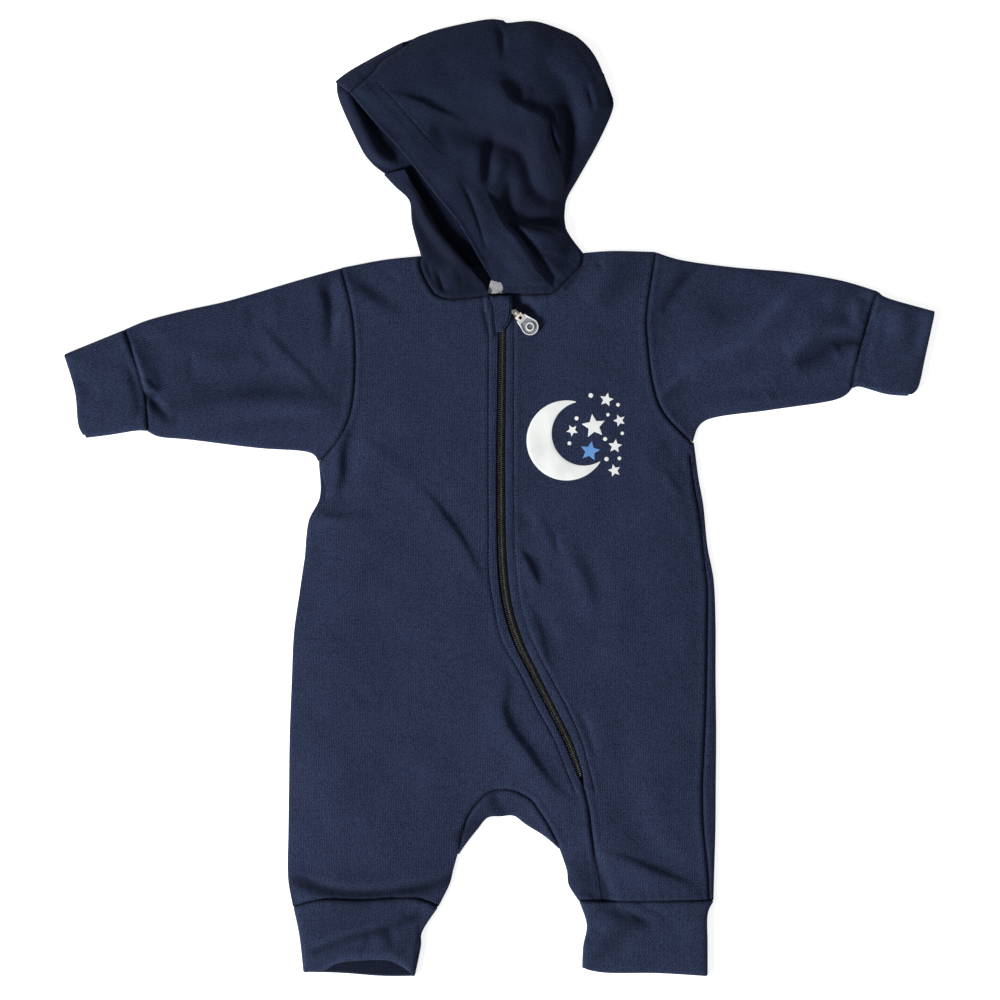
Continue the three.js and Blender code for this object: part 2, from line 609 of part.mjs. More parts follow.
function makeGusset() {
  const stations = [];
  const halfSteps = legSteps.filter((t) => t <= 0.5).map((t) => t * 2);
  const sides = [
    [archRight, crotchRight, [...halfSteps].reverse()],
    [archLeft, crotchLeft, halfSteps.slice(1)],
  ];
  for (const [arch, crotch, steps] of sides) {
    for (const t of steps) stations.push([edge([arch])(t), edge([crotch])(t)]);
  }
  const rows = stations.map(([seam, foldPoint]) => {
    const inward = seam.clone().sub(foldPoint).normalize();
    const fold = foldAt(foldPoint, inward, wall);
    const middle = seam.clone().lerp(foldPoint, 0.45);
    const lower = [lift(seam, flat(wall)), lift(middle, flat(wall))];
    const upper = [lift(middle, frontHeight), lift(seam, frontHeight)];
    return [...lower, ...fold, ...upper];
  });
  add('gusset', cloth([rows], wall), colours.cloth);
}

// A tube of cloth laid flat. The plan gives each layer's place; across it runs from one
// folded side (0) to the other (1), and along it from one open end (0) to the other (1).
function flatTube(upperPlan, lowerPlan, acrossSteps, alongSteps, layer, height) {
  const rows = alongSteps.map((along) => {
    const sides = [0, 1].map((across) => upperPlan(along, across));
    const width = sides[0].distanceTo(sides[1]);
    const inward = sides[1].clone().sub(sides[0]).normalize();
    const margin = foldInset(layer) / width;
    const inner = acrossSteps.filter((across) => across > margin * 1.3 && across < 1 - margin * 1.3);
    const upper = inner.map((across) => lift(upperPlan(along, across), height));
    const lower = inner.map((across) => lift(lowerPlan(along, across), flat(layer))).reverse();
    const near = foldAt(sides[0], inward, layer);
    const far = foldAt(sides[1], inward.clone().negate(), layer).reverse();
    return [...near, ...upper, ...far, ...lower, near[0]];
  });
  return cloth([rows], layer);
}

const turned = (plan) => (along, across) => plan(across, along);

function makeSleeve(name, armhole, cuffSeam, top, under) {
  const plan = panel(edge([armhole]), edge([cuffSeam]), edge([top]), edge([under]));
  const along = [0, 0.1, 0.25, 0.4, 0.55, 0.7, 0.87, 1];
  add(name, flatTube(plan, plan, armSteps, along, wall, frontHeight), colours.cloth);
}

function makeCuff(name, seam, end, top, under) {
  const plan = panel(edge([seam]), edge([end]), edge([top]), edge([under]));
  add(name, flatTube(plan, plan, armSteps, [0, 0.33, 0.67, 1], cuffWall, cuffHeight), colours.cuff);
}

function makeLegCuff(name, seam, { near, far, upperHem, underHem }) {
  const below = (side) => (t) => side(t).sub(new THREE.Vector2(0, seamGap / 2));
  const layer = (top, hem) => turned(panel(edge([near]), edge([far]), below(top), edge([hem])));
  const upper = layer(seam, upperHem);
  const under = layer(straight(seam(0), seam(1)), underHem);
  const tube = flatTube(upper, under, legColumns, [0, 0.3, 0.65, 1], cuffWall, cuffHeight);
  add(name, tube, colours.cuff);
}

// The hood's right half: the lower sheet, its strip over the crown up to the crown seam, and
// its front edge turned over at the neck.
function makeRightHood() {
  const [crownFrom, crownTo, flapFrom] = [0.2, 0.4, 0.68];
  const left = edge([hoodCrownRight, hoodFaceRight, hoodNeckRight], [0, crownTo, flapFrom, 1]);
  const right = edge([hoodBackLeft, hoodNapeLeft], [0, 0.45, 1]);
  const sheet = panel(left, right, edge([hoodTop]), edge([neckBack]));
  const crownVs = crownSteps.map((t) => lerp(crownFrom, crownTo, t));
  const flapSteps = [0, 0.2, 0.4, 0.6, 0.8, 1];
  const flapVs = flapSteps.map((t) => lerp(flapFrom, 1, t));
  const vs = [0, 0.07, 0.14, ...crownVs, 0.46, 0.54, 0.61, ...flapVs];
  const seam = edge([crownSeam]);
  const crownRows = crownVs.map((v, i) => {
    const target = seam(1 - crownSteps[i]);
    const fold = foldAt(left(v), target.clone().sub(left(v)).normalize(), wall);
    return [lift(target, hoodHeight), ...fold.reverse()];
  });
  const foldEnd = 0.72;
  const flapSide = edge([hoodNeckRight, neckRightSide], [0, foldEnd, 1]);
  const flap = panel(flapSide, edge([flapEdge]), edge([flapTop]), faceted(edge([neckRightFront]), thirds));
  const flapUs = subdivided(thirds, [2, 2, 2]).reverse();
  const flapRows = flapVs.map((v, i) => {
    const t = flapSteps[i] * foldEnd;
    const outer = left(v);
    const margin = foldInset(wall) / flap(1, t).distanceTo(outer);
    const places = flapUs.map((u) => flap(margin + (1 - margin) * u, t));
    const fold = foldAt(outer, sheet(neckBackSteps[1], v).sub(outer).normalize(), wall);
    return [...places.map((place) => lift(place, flapHeight)), ...fold.reverse()];
  });
  const cornerRow = flapRows.at(-1).slice(0, flapUs.length + 1);
  const sideRows = [0.5, 1].map((t) => [...flapUs, 0].map((u) => (
    lift(flap(u, lerp(foldEnd, 1, t)), flapHeight))));
  const lower = gridOn(sheet, neckBackSteps, vs, flat(wall));
  crownVs.forEach((v, i) => lower[vs.indexOf(v)].splice(0, 1, crownRows[i].at(-1)));
  flapVs.forEach((v, i) => lower[vs.indexOf(v)].splice(0, 1, flapRows[i].at(-1)));
  add('hood_right', cloth([lower, crownRows, flapRows, [cornerRow, ...sideRows]], wall), colours.cloth);
}

// Points between the given steps, each stretch cut into the number of parts given for it
function subdivided(steps, counts) {
  return counts.flatMap((count, i) => Array.from({ length: count }, (_, k) => (
    lerp(steps[i], steps[i + 1], (k + 1) / count))));
}

// An edge as straight chords between the given steps
const faceted = (side, steps) => (t) => {
  const i = clamp(steps.findLastIndex((step) => step <= t), 0, steps.length - 2);
  return side(steps[i]).lerp(side(steps[i + 1]), (t - steps[i]) / (steps[i + 1] - steps[i]));
};

function makeLeftHood() {
  const left = edge([faceEdgeLeft, faceEdgeEnd], [0, 0.92, 1]);
  const right = edge([hoodNapeUpper]);
  const crownEnd = 0.25;
  const neckStart = 0.05;
  const crown = faceted(edge([crownSeam]), crownSteps);
  const over = edge([crownOver]);
  const top = (t) => (t <= crownEnd ? crown(t / crownEnd) : over((t - crownEnd) / (1 - crownEnd)));
  const neck = faceted(edge([neckLeft]), neckSteps);
  const start = edge([neckLeftStart]);
  const bottom = (t) => (t < neckStart ? start(t / neckStart) : neck((t - neckStart) / (1 - neckStart)));
  const overSteps = [0.1, 0.2, 0.31, 0.42, 0.53, 0.65, 0.77, 0.89, 1];
  const topUs = [
    ...crownSteps.map((t) => t * crownEnd),
    ...overSteps.map((t) => lerp(crownEnd, 1, t)),
  ];
  const neckUs = subdivided(neckSteps, [2, 2, 3, 3, 2]).map((t) => lerp(neckStart, 1, t));
  const bottomUs = [0, neckStart, ...neckUs];
  const vs = [0, 0.08, 0.17, 0.26, 0.35, 0.44, 0.53, 0.62, 0.71, 0.79, 0.86, 0.92, 0.96, 1];
  const grid = fannedGrid(panel(left, right, top, bottom), topUs, bottomUs, vs, hoodHeight);
  add('hood_left', cloth([grid], wall), colours.cloth);
}

// Zip: two tapes under the fronts' edges, the closed coil between the edges
const zipRows = [
  ...armSteps.map((t) => lerp(neckY, armpitY, t)),
  ...sideSteps.slice(1).map((t) => lerp(armpitY, forkY, t)),
];
const coilTop = 122;
const coilEnd = -195;

function makeTape(name, side) {
  const under = wall / 2 + tapeWall / 2 + tapeDrop;
  const height = (place) => frontHeight(place) - under;
  const rows = zipRows.map((y) => {
    const half = zipColumn('width')(y) / 2;
    const reaches = [0, half, tapeWidth];
    return reaches.map((reach) => lift(new THREE.Vector2(zipColumn('x')(y) + side * reach, y), height));
  });
  add(name, cloth([rows], tapeWall), colours.zip);
}

function makeCoil() {
  const clearance = 0.45;
  const rows = [coilTop, ...zipRows.filter((y) => y < coilTop - 5 && y > coilEnd), coilEnd].map((y) => {
    const half = zipColumn('width')(y) / 2 - clearance;
    const places = [-half, 0, half].map((reach) => new THREE.Vector2(zipColumn('x')(y) + reach, y));
    return places.map((place) => lift(place, (p) => frontHeight(p) + (coilWall - wall) / 2));
  });
  add('zip_coil', cloth([rows], coilWall), colours.zip, 0.5);
}

// The chin guard lies on the zip's top end, raised over the slider
const guardTop = [[-5.9, 141.6], [8.4, 142.4]];
const guardRight = [[8.4, 142.4], [8.6, 133], [7.4, 124.6], [4.2, 119.6], [1.2, 116.6]];
const guardLeft = [[-5.9, 141.6], [-3.5, 134.4], [-2.6, 125], [-1.8, 117]];
const guardTip = [[-1.8, 117], [1.2, 116.6]];
const guardRise = { rest: 0.4, over: 1.55, upper: 142, upperSlope: 6, lower: 116.5, lowerSlope: 4.5 };

function guardHeight(place) {
  const below = clamp((guardRise.upper - place.y) / guardRise.upperSlope, 0, 1);
  const above = clamp((place.y - guardRise.lower) / guardRise.lowerSlope, 0, 1);
  const over = guardRise.over * easeOf(below) * easeOf(above);
  return frontHeight(place) + (wall + guardWall) / 2 + guardRise.rest + over;
}

function makeGuard() {
  const plan = panel(edge([guardLeft]), edge([guardRight]), edge([guardTop]), edge([guardTip]));
  const grid = gridOn(plan, thirds, [0, 0.12, 0.25, 0.45, 0.65, 0.8, 0.9, 1], guardHeight);
  add('chin_guard', cloth([grid], guardWall), colours.cloth);
}

// The neck label hangs under the front's neck edge
const labelLeft = [[-5.4, 153.2], [-8.2, 144]];
const labelRight = [[1.6, 153.6], [5.4, 148.5], [4, 144]];
const labelDrop = 0.4;

function makeLabel() {
  const left = edge([labelLeft]);
  const right = edge([labelRight]);
  const plan = panel(left, right, straight(left(0), right(0)), straight(left(1), right(1)));
  const height = () => frontRise - (wall + labelWall) / 2 - labelDrop;
  add('neck_label', cloth([gridOn(plan, halves, halves, height)], labelWall), colours.label);
}

// Slider and pull tab. The tab swings about the slider's pin; x runs along the tab here.
const frontTop = frontRise + wall / 2;
const pin = { x: 12, y: 129.6, z: 8, radius: 0.6, clearance: 0.3 };
const tabTurn = degToRad(-43.5);
const slider = { low: 122.7, high: 132, coreWidth: 4.6, plateWidth: 7.2, lip: 0.3, rest: 0.4, top: 1.5 };
const arm = { low: 130, high: 132.3, reach: 1.5 };
const block = { back: -2.5, wall: 0.8, top: 0.4 };
const cheek = { radius: 1.4, width: 0.8 };
const eye = { radius: 1.25, width: 1.5 };
const link = { from: 1.9, to: 6.2, width: 5, wall: 1.6, neckFrom: 0.7, neckFloor: 0.5 };
const tab = { from: 6.5, centre: 13.4, radius: 6.1, neck: 5, wall: 1.8, hole: 1.3 };
const tabShoulder = degToRad(121); // where the round end meets the tab's straight sides
const ring = { outer: 3.9, inner: 2.7, height: 0.5 };
const tabFloor = frontTop + 0.55 - pin.z;
const overlap = 0.1; // how far joined pieces reach into each other

function box([x1, x2], [y1, y2], [z1, z2]) {
  const middle = [(x1 + x2) / 2, (y1 + y2) / 2, (z1 + z2) / 2];
  return new THREE.BoxGeometry(x2 - x1, y2 - y1, z2 - z1).translate(...middle);
}
const centred = (width, middle = 0) => [middle - width / 2, middle + width / 2];
const roundBar = (radius, length) => new THREE.CylinderGeometry(radius, radius, length, 20);
const alongTab = (geometry) => geometry.rotateZ(tabTurn).translate(pin.x, pin.y, pin.z);

function asSolid(geometry) {
  const bare = geometry.clone();
  bare.deleteAttribute('normal');
  bare.deleteAttribute('uv');
  const merged = mergeVertices(bare, 1e-4);
  return new wasm.Manifold(new wasm.Mesh({
    numProp: 3,
    vertProperties: merged.attributes.position.array,
    triVerts: new Uint32Array(merged.index.array),
  }));
}

function asGeometry(manifold) {
  const mesh = manifold.getMesh();
  const geometry = new THREE.BufferGeometry();
  geometry.setAttribute('position', new THREE.BufferAttribute(mesh.vertProperties, 3));
  geometry.setIndex(new THREE.BufferAttribute(mesh.triVerts, 1));
  const open = geometry.toNonIndexed();
  open.computeVertexNormals();
  return open;
}

const joined = (geometries) => geometries.map(asSolid).reduce((sum, next) => sum.add(next));

function makeSlider() {
  const middle = zipColumn('x')((slider.low + slider.high) / 2);
  const floor = frontTop + slider.rest;
  const plateHeights = [floor, frontTop + slider.top];
  const core = box(
    centred(slider.coreWidth, middle),
    [slider.low, slider.high],
    [frontTop - wall, floor + overlap],
  );
  const plate = box(
    centred(slider.plateWidth, middle),
    [slider.low - slider.lip, slider.high + slider.lip],
    plateHeights,
  );
  const side = box([middle + slider.coreWidth / 2, pin.x - arm.reach], [arm.low, arm.high], plateHeights);
  const width = eye.width + 2 * (pin.clearance + cheek.width);
  const heights = [floor - pin.z, block.top];
  const back = alongTab(box([block.back, block.back + block.wall], centred(width), heights));
  const cheeks = [-1, 1].flatMap((hand) => {
    const y = (hand * (width - cheek.width)) / 2;
    const stem = box([block.back + overlap, 0], centred(cheek.width, y), heights);
    return [alongTab(stem), alongTab(roundBar(cheek.radius, cheek.width).translate(0, y, 0))];
  });
  const bar = alongTab(roundBar(pin.radius, width - cheek.width));
  const body = joined([core, plate, side, back, ...cheeks, bar]);
  add('zip_slider', asGeometry(body), colours.metal, 0.35, 0.8);
}

function makeLink() {
  const top = tabFloor + link.wall;
  const body = joined([
    roundBar(eye.radius, eye.width),
    box([link.neckFrom, link.from + overlap], centred(eye.width), [tabFloor + link.neckFloor, top]),
    box([link.from, link.to], centred(link.width), [tabFloor, top]),
  ]);
  const hole = asSolid(roundBar(pin.radius + pin.clearance, eye.width * 2));
  add('pull_link', alongTab(asGeometry(body.subtract(hole))), colours.metal, 0.35, 0.8);
}

function makeTab() {
  const shape = new THREE.Shape();
  shape.moveTo(tab.from, -tab.neck / 2);
  shape.absarc(tab.centre, 0, tab.radius, -tabShoulder, tabShoulder, false);
  shape.lineTo(tab.from, tab.neck / 2);
  shape.closePath();
  const options = { depth: tab.wall, bevelEnabled: false, curveSegments: 20 };
  const plate = new THREE.ExtrudeGeometry(shape, options).translate(0, 0, tabFloor);
  const disc = (radius, height) => asSolid(roundBar(radius, height).rotateX(Math.PI / 2)
    .translate(tab.centre, 0, tabFloor + tab.wall + ring.height - height / 2));
  const raised = disc(ring.outer, ring.height + overlap).subtract(disc(ring.inner, ring.height * 4));
  const body = asSolid(plate).add(raised).subtract(disc(tab.hole, tab.wall * 3));
  add('pull_tab', alongTab(asGeometry(body)), colours.plastic, 0.3);
}

makeRightFront();
makeLeftFront();
makeBack();
makeGusset();
makeSleeve('sleeve_right', armholeRight, cuffSeamRight, sleeveTopRight, sleeveUnderRight);
makeSleeve('sleeve_left', armholeLeft, cuffSeamLeft, sleeveTopLeft, sleeveUnderLeft);
makeCuff('cuff_right', cuffSeamRight, cuffEndRight, cuffTopRight, cuffUnderRight);
makeCuff('cuff_left', cuffSeamLeft, cuffEndLeft, cuffTopLeft, cuffUnderLeft);
makeLegCuff('leg_cuff_right', edge([hemSeamRight]), {
  near: legCuffSideRight,
  far: legCuffInnerRight,
  upperHem: legCuffUpperHemRight,
  underHem: legCuffUnderHemRight,
});
makeLegCuff('leg_cuff_left', edge([hemSeamStrip, hemSeamLeft], [0, 0.17, 1]), {
  near: legCuffInnerLeft,
  far: legCuffSideLeft,
  upperHem: legCuffHemLeft,
  underHem: legCuffHemLeft,
});
makeRightHood();
makeLeftHood();
makeTape('zip_tape_right', -1);
makeTape('zip_tape_left', 1);
makeCoil();
makeGuard();
makeLabel();
makeSlider();
makeLink();
makeTab();

export default romper;
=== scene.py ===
import math
import bpy
import numpy as np
from mathutils import Matrix, Vector, noise
from mathutils.kdtree import KDTree


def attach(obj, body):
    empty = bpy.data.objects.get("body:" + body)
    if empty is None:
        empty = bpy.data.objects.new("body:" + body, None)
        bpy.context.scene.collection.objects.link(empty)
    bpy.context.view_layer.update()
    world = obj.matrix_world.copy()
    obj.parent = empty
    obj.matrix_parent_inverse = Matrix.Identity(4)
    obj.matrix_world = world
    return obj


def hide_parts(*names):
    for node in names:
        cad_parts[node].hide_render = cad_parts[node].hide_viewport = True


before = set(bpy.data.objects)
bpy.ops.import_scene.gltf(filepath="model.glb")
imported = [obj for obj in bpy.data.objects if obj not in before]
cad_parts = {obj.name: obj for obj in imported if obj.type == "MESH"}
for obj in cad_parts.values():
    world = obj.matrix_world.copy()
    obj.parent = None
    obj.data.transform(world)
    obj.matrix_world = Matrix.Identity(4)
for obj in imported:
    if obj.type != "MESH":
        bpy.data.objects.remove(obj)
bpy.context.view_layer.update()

mm = 0.001
print("frame loaded")

# Camera: straight down, the hood at the top of the picture
cameraSet = {"lens": 150, "sensor": 36, "across": 0.7, "x": 0.0007, "y": -0.0007, "z": 0.005}
cameraData = bpy.data.cameras.new("camera")
cameraData.lens = cameraSet["lens"]
cameraData.sensor_width = cameraSet["sensor"]
cameraData.clip_end = 20
camera = bpy.data.objects.new("camera", cameraData)
bpy.context.scene.collection.objects.link(camera)
cameraHeight = cameraSet["across"] * cameraSet["lens"] / cameraSet["sensor"]
camera.location = (cameraSet["x"], cameraSet["y"], cameraSet["z"] + cameraHeight)
bpy.context.scene.camera = camera

# Cloth, in millimetres. Right and left are the wearer's, so the right half lies at negative x.
cloth = {
    "wall": 1.3,
    "cuffWall": 2.2,
    "gap": 0.3,  # between two layers that lie on each other
    "frontRise": 5.4,  # middle of the front's layer, well inside the outline
    "cuffRise": 5.1,
    "hoodRise": 12.5,
    "flapRise": 6.6,
    "softEdge": 45,  # how far in from the outline the cloth keeps rising
    "hoodSoftEdge": 34,
    "neckBlend": 26,
    "lowest": 1.95,  # of an upper layer's middle
    "pitch": 1.5,  # between neighbouring points of a panel
}
wall = cloth["wall"]
zipSpare = 0.35  # each front's edge lies this much further out than the opening's

# Outlines and seams, each from its first to its last point: x, y
shoulderRight = [(-110.6, 161.7), (-81, 167.3), (-54.6, 170.1)]
neckRightSide = [(-54.6, 170.1), (-55.3, 163.8), (-51.1, 153), (-45.5, 143.8)]
neckRightFront = [(-45.5, 143.8), (-39.5, 140.9), (-32.2, 140), (-19.6, 140.7), (-7, 142.6)]
neckRightEnd = [(-7, 142.6), (-0.5, 142.8)]
neckLeft = [(5, 143.2), (28.7, 143.4), (39.2, 145), (46.2, 151.9), (57.4, 163.8), (58.8, 172.2)]
shoulderLeft = [(58.8, 172.2), (80, 173.6), (109.9, 172.9)]
neckBack = [(-54.6, 170.1), (-30, 164.5), (2, 162.5), (35, 165.5), (58.8, 172.2)]
armholeRight = [(-110.6, 161.7), (-102.9, 131), (-100.5, 95), (-103.6, 61.6), (-112.7, 41.3), (-126, 25.9)]
armholeLeft = [(109.9, 172.9), (103.6, 131), (104.3, 108.5), (107.8, 81.2), (115.5, 60), (135.2, 39.5)]
sleeveTopRight = [
    (-110.6, 161.7), (-140.7, 153.3), (-188.3, 139.3), (-219.8, 132.3), (-246.4, 125.3), (-263.2, 118.3),
]
sleeveUnderRight = [
    (-126, 25.9), (-134.4, 32.9), (-170.1, 35.7), (-215.6, 41.3), (-237.3, 43.4), (-246.4, 47.6),
]
sleeveTopLeft = [
    (109.9, 172.9), (128.8, 167.3), (165.2, 162.4), (205.8, 158.9), (239.4, 153.3), (265.3, 145.6),
]
sleeveUnderLeft = [(135.2, 39.5), (145.6, 55.3), (190.4, 62.3), (235.2, 69.3), (247.1, 77.7)]
cuffSeamRight = [(-263.2, 118.3), (-253.4, 92.4), (-247.6, 68), (-246.4, 47.6)]
cuffSeamLeft = [(265.3, 145.6), (256.2, 118.3), (249.9, 93.8), (247.1, 77.7)]
cuffTopRight = [(-263.2, 118.3), (-304.5, 101.5)]
cuffUnderRight = [(-246.4, 47.6), (-254.8, 47.6), (-272.3, 44.8), (-289.1, 42.7)]
cuffEndRight = [(-304.5, 101.5), (-296.8, 75.6), (-294.3, 52), (-289.1, 42.7)]
cuffTopLeft = [(265.3, 145.6), (273, 140.7), (305.2, 131.6)]
cuffUnderLeft = [(247.1, 77.7), (253.4, 78.4), (271, 73.4), (286.3, 72.1)]
cuffEndLeft = [(305.2, 131.6), (298.2, 99.4), (293.3, 78.4), (286.3, 72.1)]
archRight = [(1.4, -203), (-6.3, -205.1), (-13.3, -210.7), (-18.9, -217.7), (-23.8, -227.5), (-28, -244.3)]
archLeft = [(1.4, -203), (12, -204.8), (22.4, -210.7), (28.7, -219.1), (35, -228.9), (41.3, -241.5)]
crotchRight = [(1, -222.6), (-8.4, -223.6), (-15.4, -231.7), (-23.1, -241.5), (-28.7, -249.2)]
crotchLeft = [(1, -222.6), (10.5, -222.2), (18.9, -228.2), (32.2, -236.6), (42.4, -245.2)]
inseamRight = [(-28, -244.3), (-32.2, -259.7), (-35, -270.2), (-42.7, -285.6)]
inseamLeft = [(41.3, -241.5), (47.6, -259.7), (49, -270.2), (56, -281.4)]
hemSeamRight = [(-144.2, -285.6), (-124.6, -280.7), (-95.9, -281.2), (-60.2, -279.5), (-42.7, -285.6)]
hemSeamStrip = [(56, -281.4), (72.5, -282)]
hemSeamLeft = [(72.5, -282), (110, -281.6), (150.4, -281.2)]
legCuffSideRight = [(-144.2, -285.6), (-140, -305.9), (-137.2, -331.1)]
legCuffInnerRight = [(-42.7, -285.6), (-53.5, -302.4), (-54.6, -313.6), (-58.8, -333.9)]
legCuffUnderHemRight = [(-137.2, -331.1), (-110.6, -331.8), (-81.9, -333.9), (-58.8, -333.9)]
legCuffUpperHemRight = [
    (-137.2, -331.1), (-122.5, -329.5), (-110.6, -324.1), (-81.9, -322.3), (-69.3, -326), (-58.8, -333.9),
]
legCuffInnerLeft = [(56, -281.4), (61.3, -298), (58.8, -313.6), (58.1, -328.3)]
legCuffSideLeft = [(150.4, -281.2), (146.3, -291), (146.3, -312.2), (146.3, -333.9)]
legCuffHemLeft = [(58.1, -328.3), (75, -331.5), (111.3, -331.8), (146.3, -333.9)]
hoodTop = [(-11.9, 335.3), (2.1, 335.3)]
hoodCrownRight = [(-11.9, 335.3), (-48.3, 326.9), (-70.7, 318.5), (-102.2, 301.7), (-114.8, 292.6)]
hoodFaceRight = [(-114.8, 292.6), (-110.6, 276.5), (-96.5, 246), (-89.5, 236), (-80.8, 227.6)]
hoodNeckRight = [(-80.8, 227.6), (-72.8, 219.2), (-63, 209.3), (-60.9, 192.5), (-54.6, 170.1)]
hoodBackLeft = [
    (2.1, 335.3), (6, 333.4), (25, 334.5), (44.8, 328.2), (56.7, 322), (67.2, 310), (74.9, 292),
    (79.8, 274.4),
]
hoodNapeLeft = [
    (79.8, 274.4), (70, 251.3), (56, 226.1), (46.9, 209.3), (45.5, 194), (49.7, 184.1), (58.8, 172.2),
]
crownSeam = [(-104.3, 284.2), (-89.6, 296.8), (-81.9, 306.4), (-68.5, 315)]
crownOver = [(-68.5, 315), (-48.3, 326.9)] + hoodTop + hoodBackLeft[1:-1] + [(77, 284.9)]
faceEdgeLeft = [
    (-104.3, 284.2), (-85.4, 261.8), (-67.9, 242.9), (-41.3, 209.3), (-27.3, 191.8), (-13.3, 167.3),
    (-4.2, 152.8),
]
faceEdgeEnd = [(-4.2, 152.8), (0.7, 152.2), (3, 148), (2, 144.6)]
neckLeftStart = [(2, 144.6), (5, 143.2)]
flapTop = [(-80.8, 227.6), (-66, 230.6)]
flapEdge = [(-66, 230.6), (-56.5, 214), (-48, 199), (-40, 185), (-26, 168.5), (-11.5, 151.5), (-7, 142.6)]
trunkLevels = np.array([  # y, front's side, back's side, left side seam, fold beyond it
    [30, -126, -126, 133.9, 136.7],
    [5, -120.8, -125.4, 137.2, 140.1],
    [-12, -131.5, -133.2, 140.6, 143.3],
    [-40, -136.2, -136.2, 143.4, 146.2],
    [-62, -139.4, -139.4, 146, 150.5],
    [-92, -143.5, -143.5, 145.8, 151.9],
    [-125, -145, -145, 145.4, 151.9],
    [-165, -146.5, -146.5, 144.2, 152.3],
    [-203, -147, -147, 142.4, 152],
    [-230, -147.4, -147.4, 143.2, 151.8],
    [-262, -147.6, -147.6, 146.4, 150.9],
    [-281, -144.2, -144.2, 147.2, 150.4],
])
zipLevels = np.array([  # y, the zip's middle, the opening's width
    [142.8, 2.2, 5.4],
    [117, 2.4, 5.5],
    [67, 1.8, 5.9],
    [30, 1.4, 6.2],
    [-28, 1.7, 6.4],
    [-52, 2.9, 6.9],
    [-75, 6, 7],
    [-99, 13.3, 7.2],
    [-122, 24.4, 6.7],
    [-145, 36, 6.4],
    [-168, 47.6, 6.2],
    [-190, 55.9, 4.4],
    [-203, 59.5, 0],
])
legSeam = [(59.5, -203), (63, -217.7), (65.1, -235.2), (68.5, -258), (72.5, -282)]
armpitY, forkY, hemY, neckY = 30, -203, -281, 142.8


def ease(value):
    value = np.clip(value, 0, 1)
    return value * value * (3 - 2 * value)


def smoothLine(points, count=160):  # a smooth line through the points, in equal steps
    p = np.array(points, float)
    last = len(p) - 1
    at = np.linspace(0, last, 3 * count + 1)
    i = np.minimum(at.astype(int), last)
    w = (at - i)[:, None]
    a, b = p[np.maximum(i - 1, 0)], p[i]
    c, d = p[np.minimum(i + 1, last)], p[np.minimum(i + 2, last)]
    before, after = (c - a) / 2, (d - b) / 2
    cubic, square = 2 * b - 2 * c + before + after, 3 * c - 3 * b - 2 * before - after
    line = cubic * w**3 + square * w**2 + before * w + b
    run = np.concatenate([[0], np.cumsum(np.linalg.norm(np.diff(line, axis=0), axis=1))])
    even = np.linspace(0, run[-1], count + 1)
    return np.stack([np.interp(even, run, line[:, k]) for k in range(2)], axis=1)


def edgeAlong(lists, knots=(0, 1)):  # an edge through the lists, with a corner where two meet
    lines = [smoothLine(points) for points in lists]

    def place(t):
        t = np.asarray(t, float)
        found = np.zeros(t.shape + (2,))
        for i, line in enumerate(lines):
            local = np.clip((t - knots[i]) / (knots[i + 1] - knots[i]), 0, 1) * (len(line) - 1)
            here = np.stack([np.interp(local, np.arange(len(line)), line[:, k]) for k in range(2)], -1)
            found = np.where((t >= knots[i])[..., None] if i else True, here, found)
        return found
    return place


def edge(points):  # an edge along one line
    return edgeAlong([points])


def straightEdge(start, end):
    start, end = np.array(start, float), np.array(end, float)
    return lambda t: start + (end - start) * np.asarray(t, float)[..., None]


def partOf(line, start, end):
    return lambda t: line(start + (end - start) * np.asarray(t, float))


def moved(line, atStart=None, atEnd=None):  # the same edge, led to other end points
    def place(t):
        t = np.asarray(t, float)
        found = line(t)
        if atStart is not None:
            found = found + (np.array(atStart) - line(0)) * (1 - t)[..., None]
        if atEnd is not None:
            found = found + (np.array(atEnd) - line(1)) * t[..., None]
        return found
    return place


def levelColumn(rows, column):
    ys, xs = rows[:, 0], rows[:, column]
    low = np.maximum(np.arange(len(ys)) - 1, 0)
    high = np.minimum(np.arange(len(ys)) + 1, len(ys) - 1)
    slopes = (xs[high] - xs[low]) / (ys[high] - ys[low])

    def find(y):
        y = np.asarray(y, float)
        i = np.clip((ys[:, None] >= y.reshape(1, -1)).sum(0).reshape(y.shape) - 1, 0, len(ys) - 2)
        span = ys[i + 1] - ys[i]
        t = np.clip((y - ys[i]) / span, 0, 1)
        lean = slopes[i] * (1 - t) - slopes[i + 1] * t
        return xs[i] * (1 - ease(t)) + xs[i + 1] * ease(t) + lean * span * t * (1 - t)
    return find


def levelEdge(find, start, end):
    def place(t):
        y = start + (end - start) * np.asarray(t, float)
        return np.stack([find(y), y], -1)
    return place


def panelPlan(left, right, top, bottom):  # left and right run down, top and bottom left to right
    def place(u, v):
        a, b = u[..., None], v[..., None]
        across = left(v) * (1 - a) + right(v) * a
        down = top(u) * (1 - b) + bottom(u) * b
        upper = left(0) * (1 - a) + right(0) * a
        lower = left(1) * (1 - a) + right(1) * a
        return across + down - upper * (1 - b) - lower * b
    return place


def spread(length, count, near=(0,), far=(0,)):  # shares of a length, closer together at its ends
    inner = np.linspace(near[-1], length - far[-1], count + 1)
    ends = [length - step for step in far[-2::-1]]
    return np.concatenate([near[:-1], inner, ends]) / length


def gridPlaces(plan, topUs, bottomUs, vs):
    v = np.array(vs)[:, None] + np.zeros(len(topUs))
    u = topUs * (1 - v) + bottomUs * v
    return plan(u, v)


frontSide, backSide, sideSeam, sideFold = [levelColumn(trunkLevels, k) for k in (1, 2, 3, 4)]
zipMiddle, zipWidth = levelColumn(zipLevels, 1), levelColumn(zipLevels, 2)


def zipEdgeRight(y):
    return zipMiddle(y) - zipWidth(y) / 2 - zipSpare


def zipEdgeLeft(y):
    return zipMiddle(y) + zipWidth(y) / 2 + zipSpare


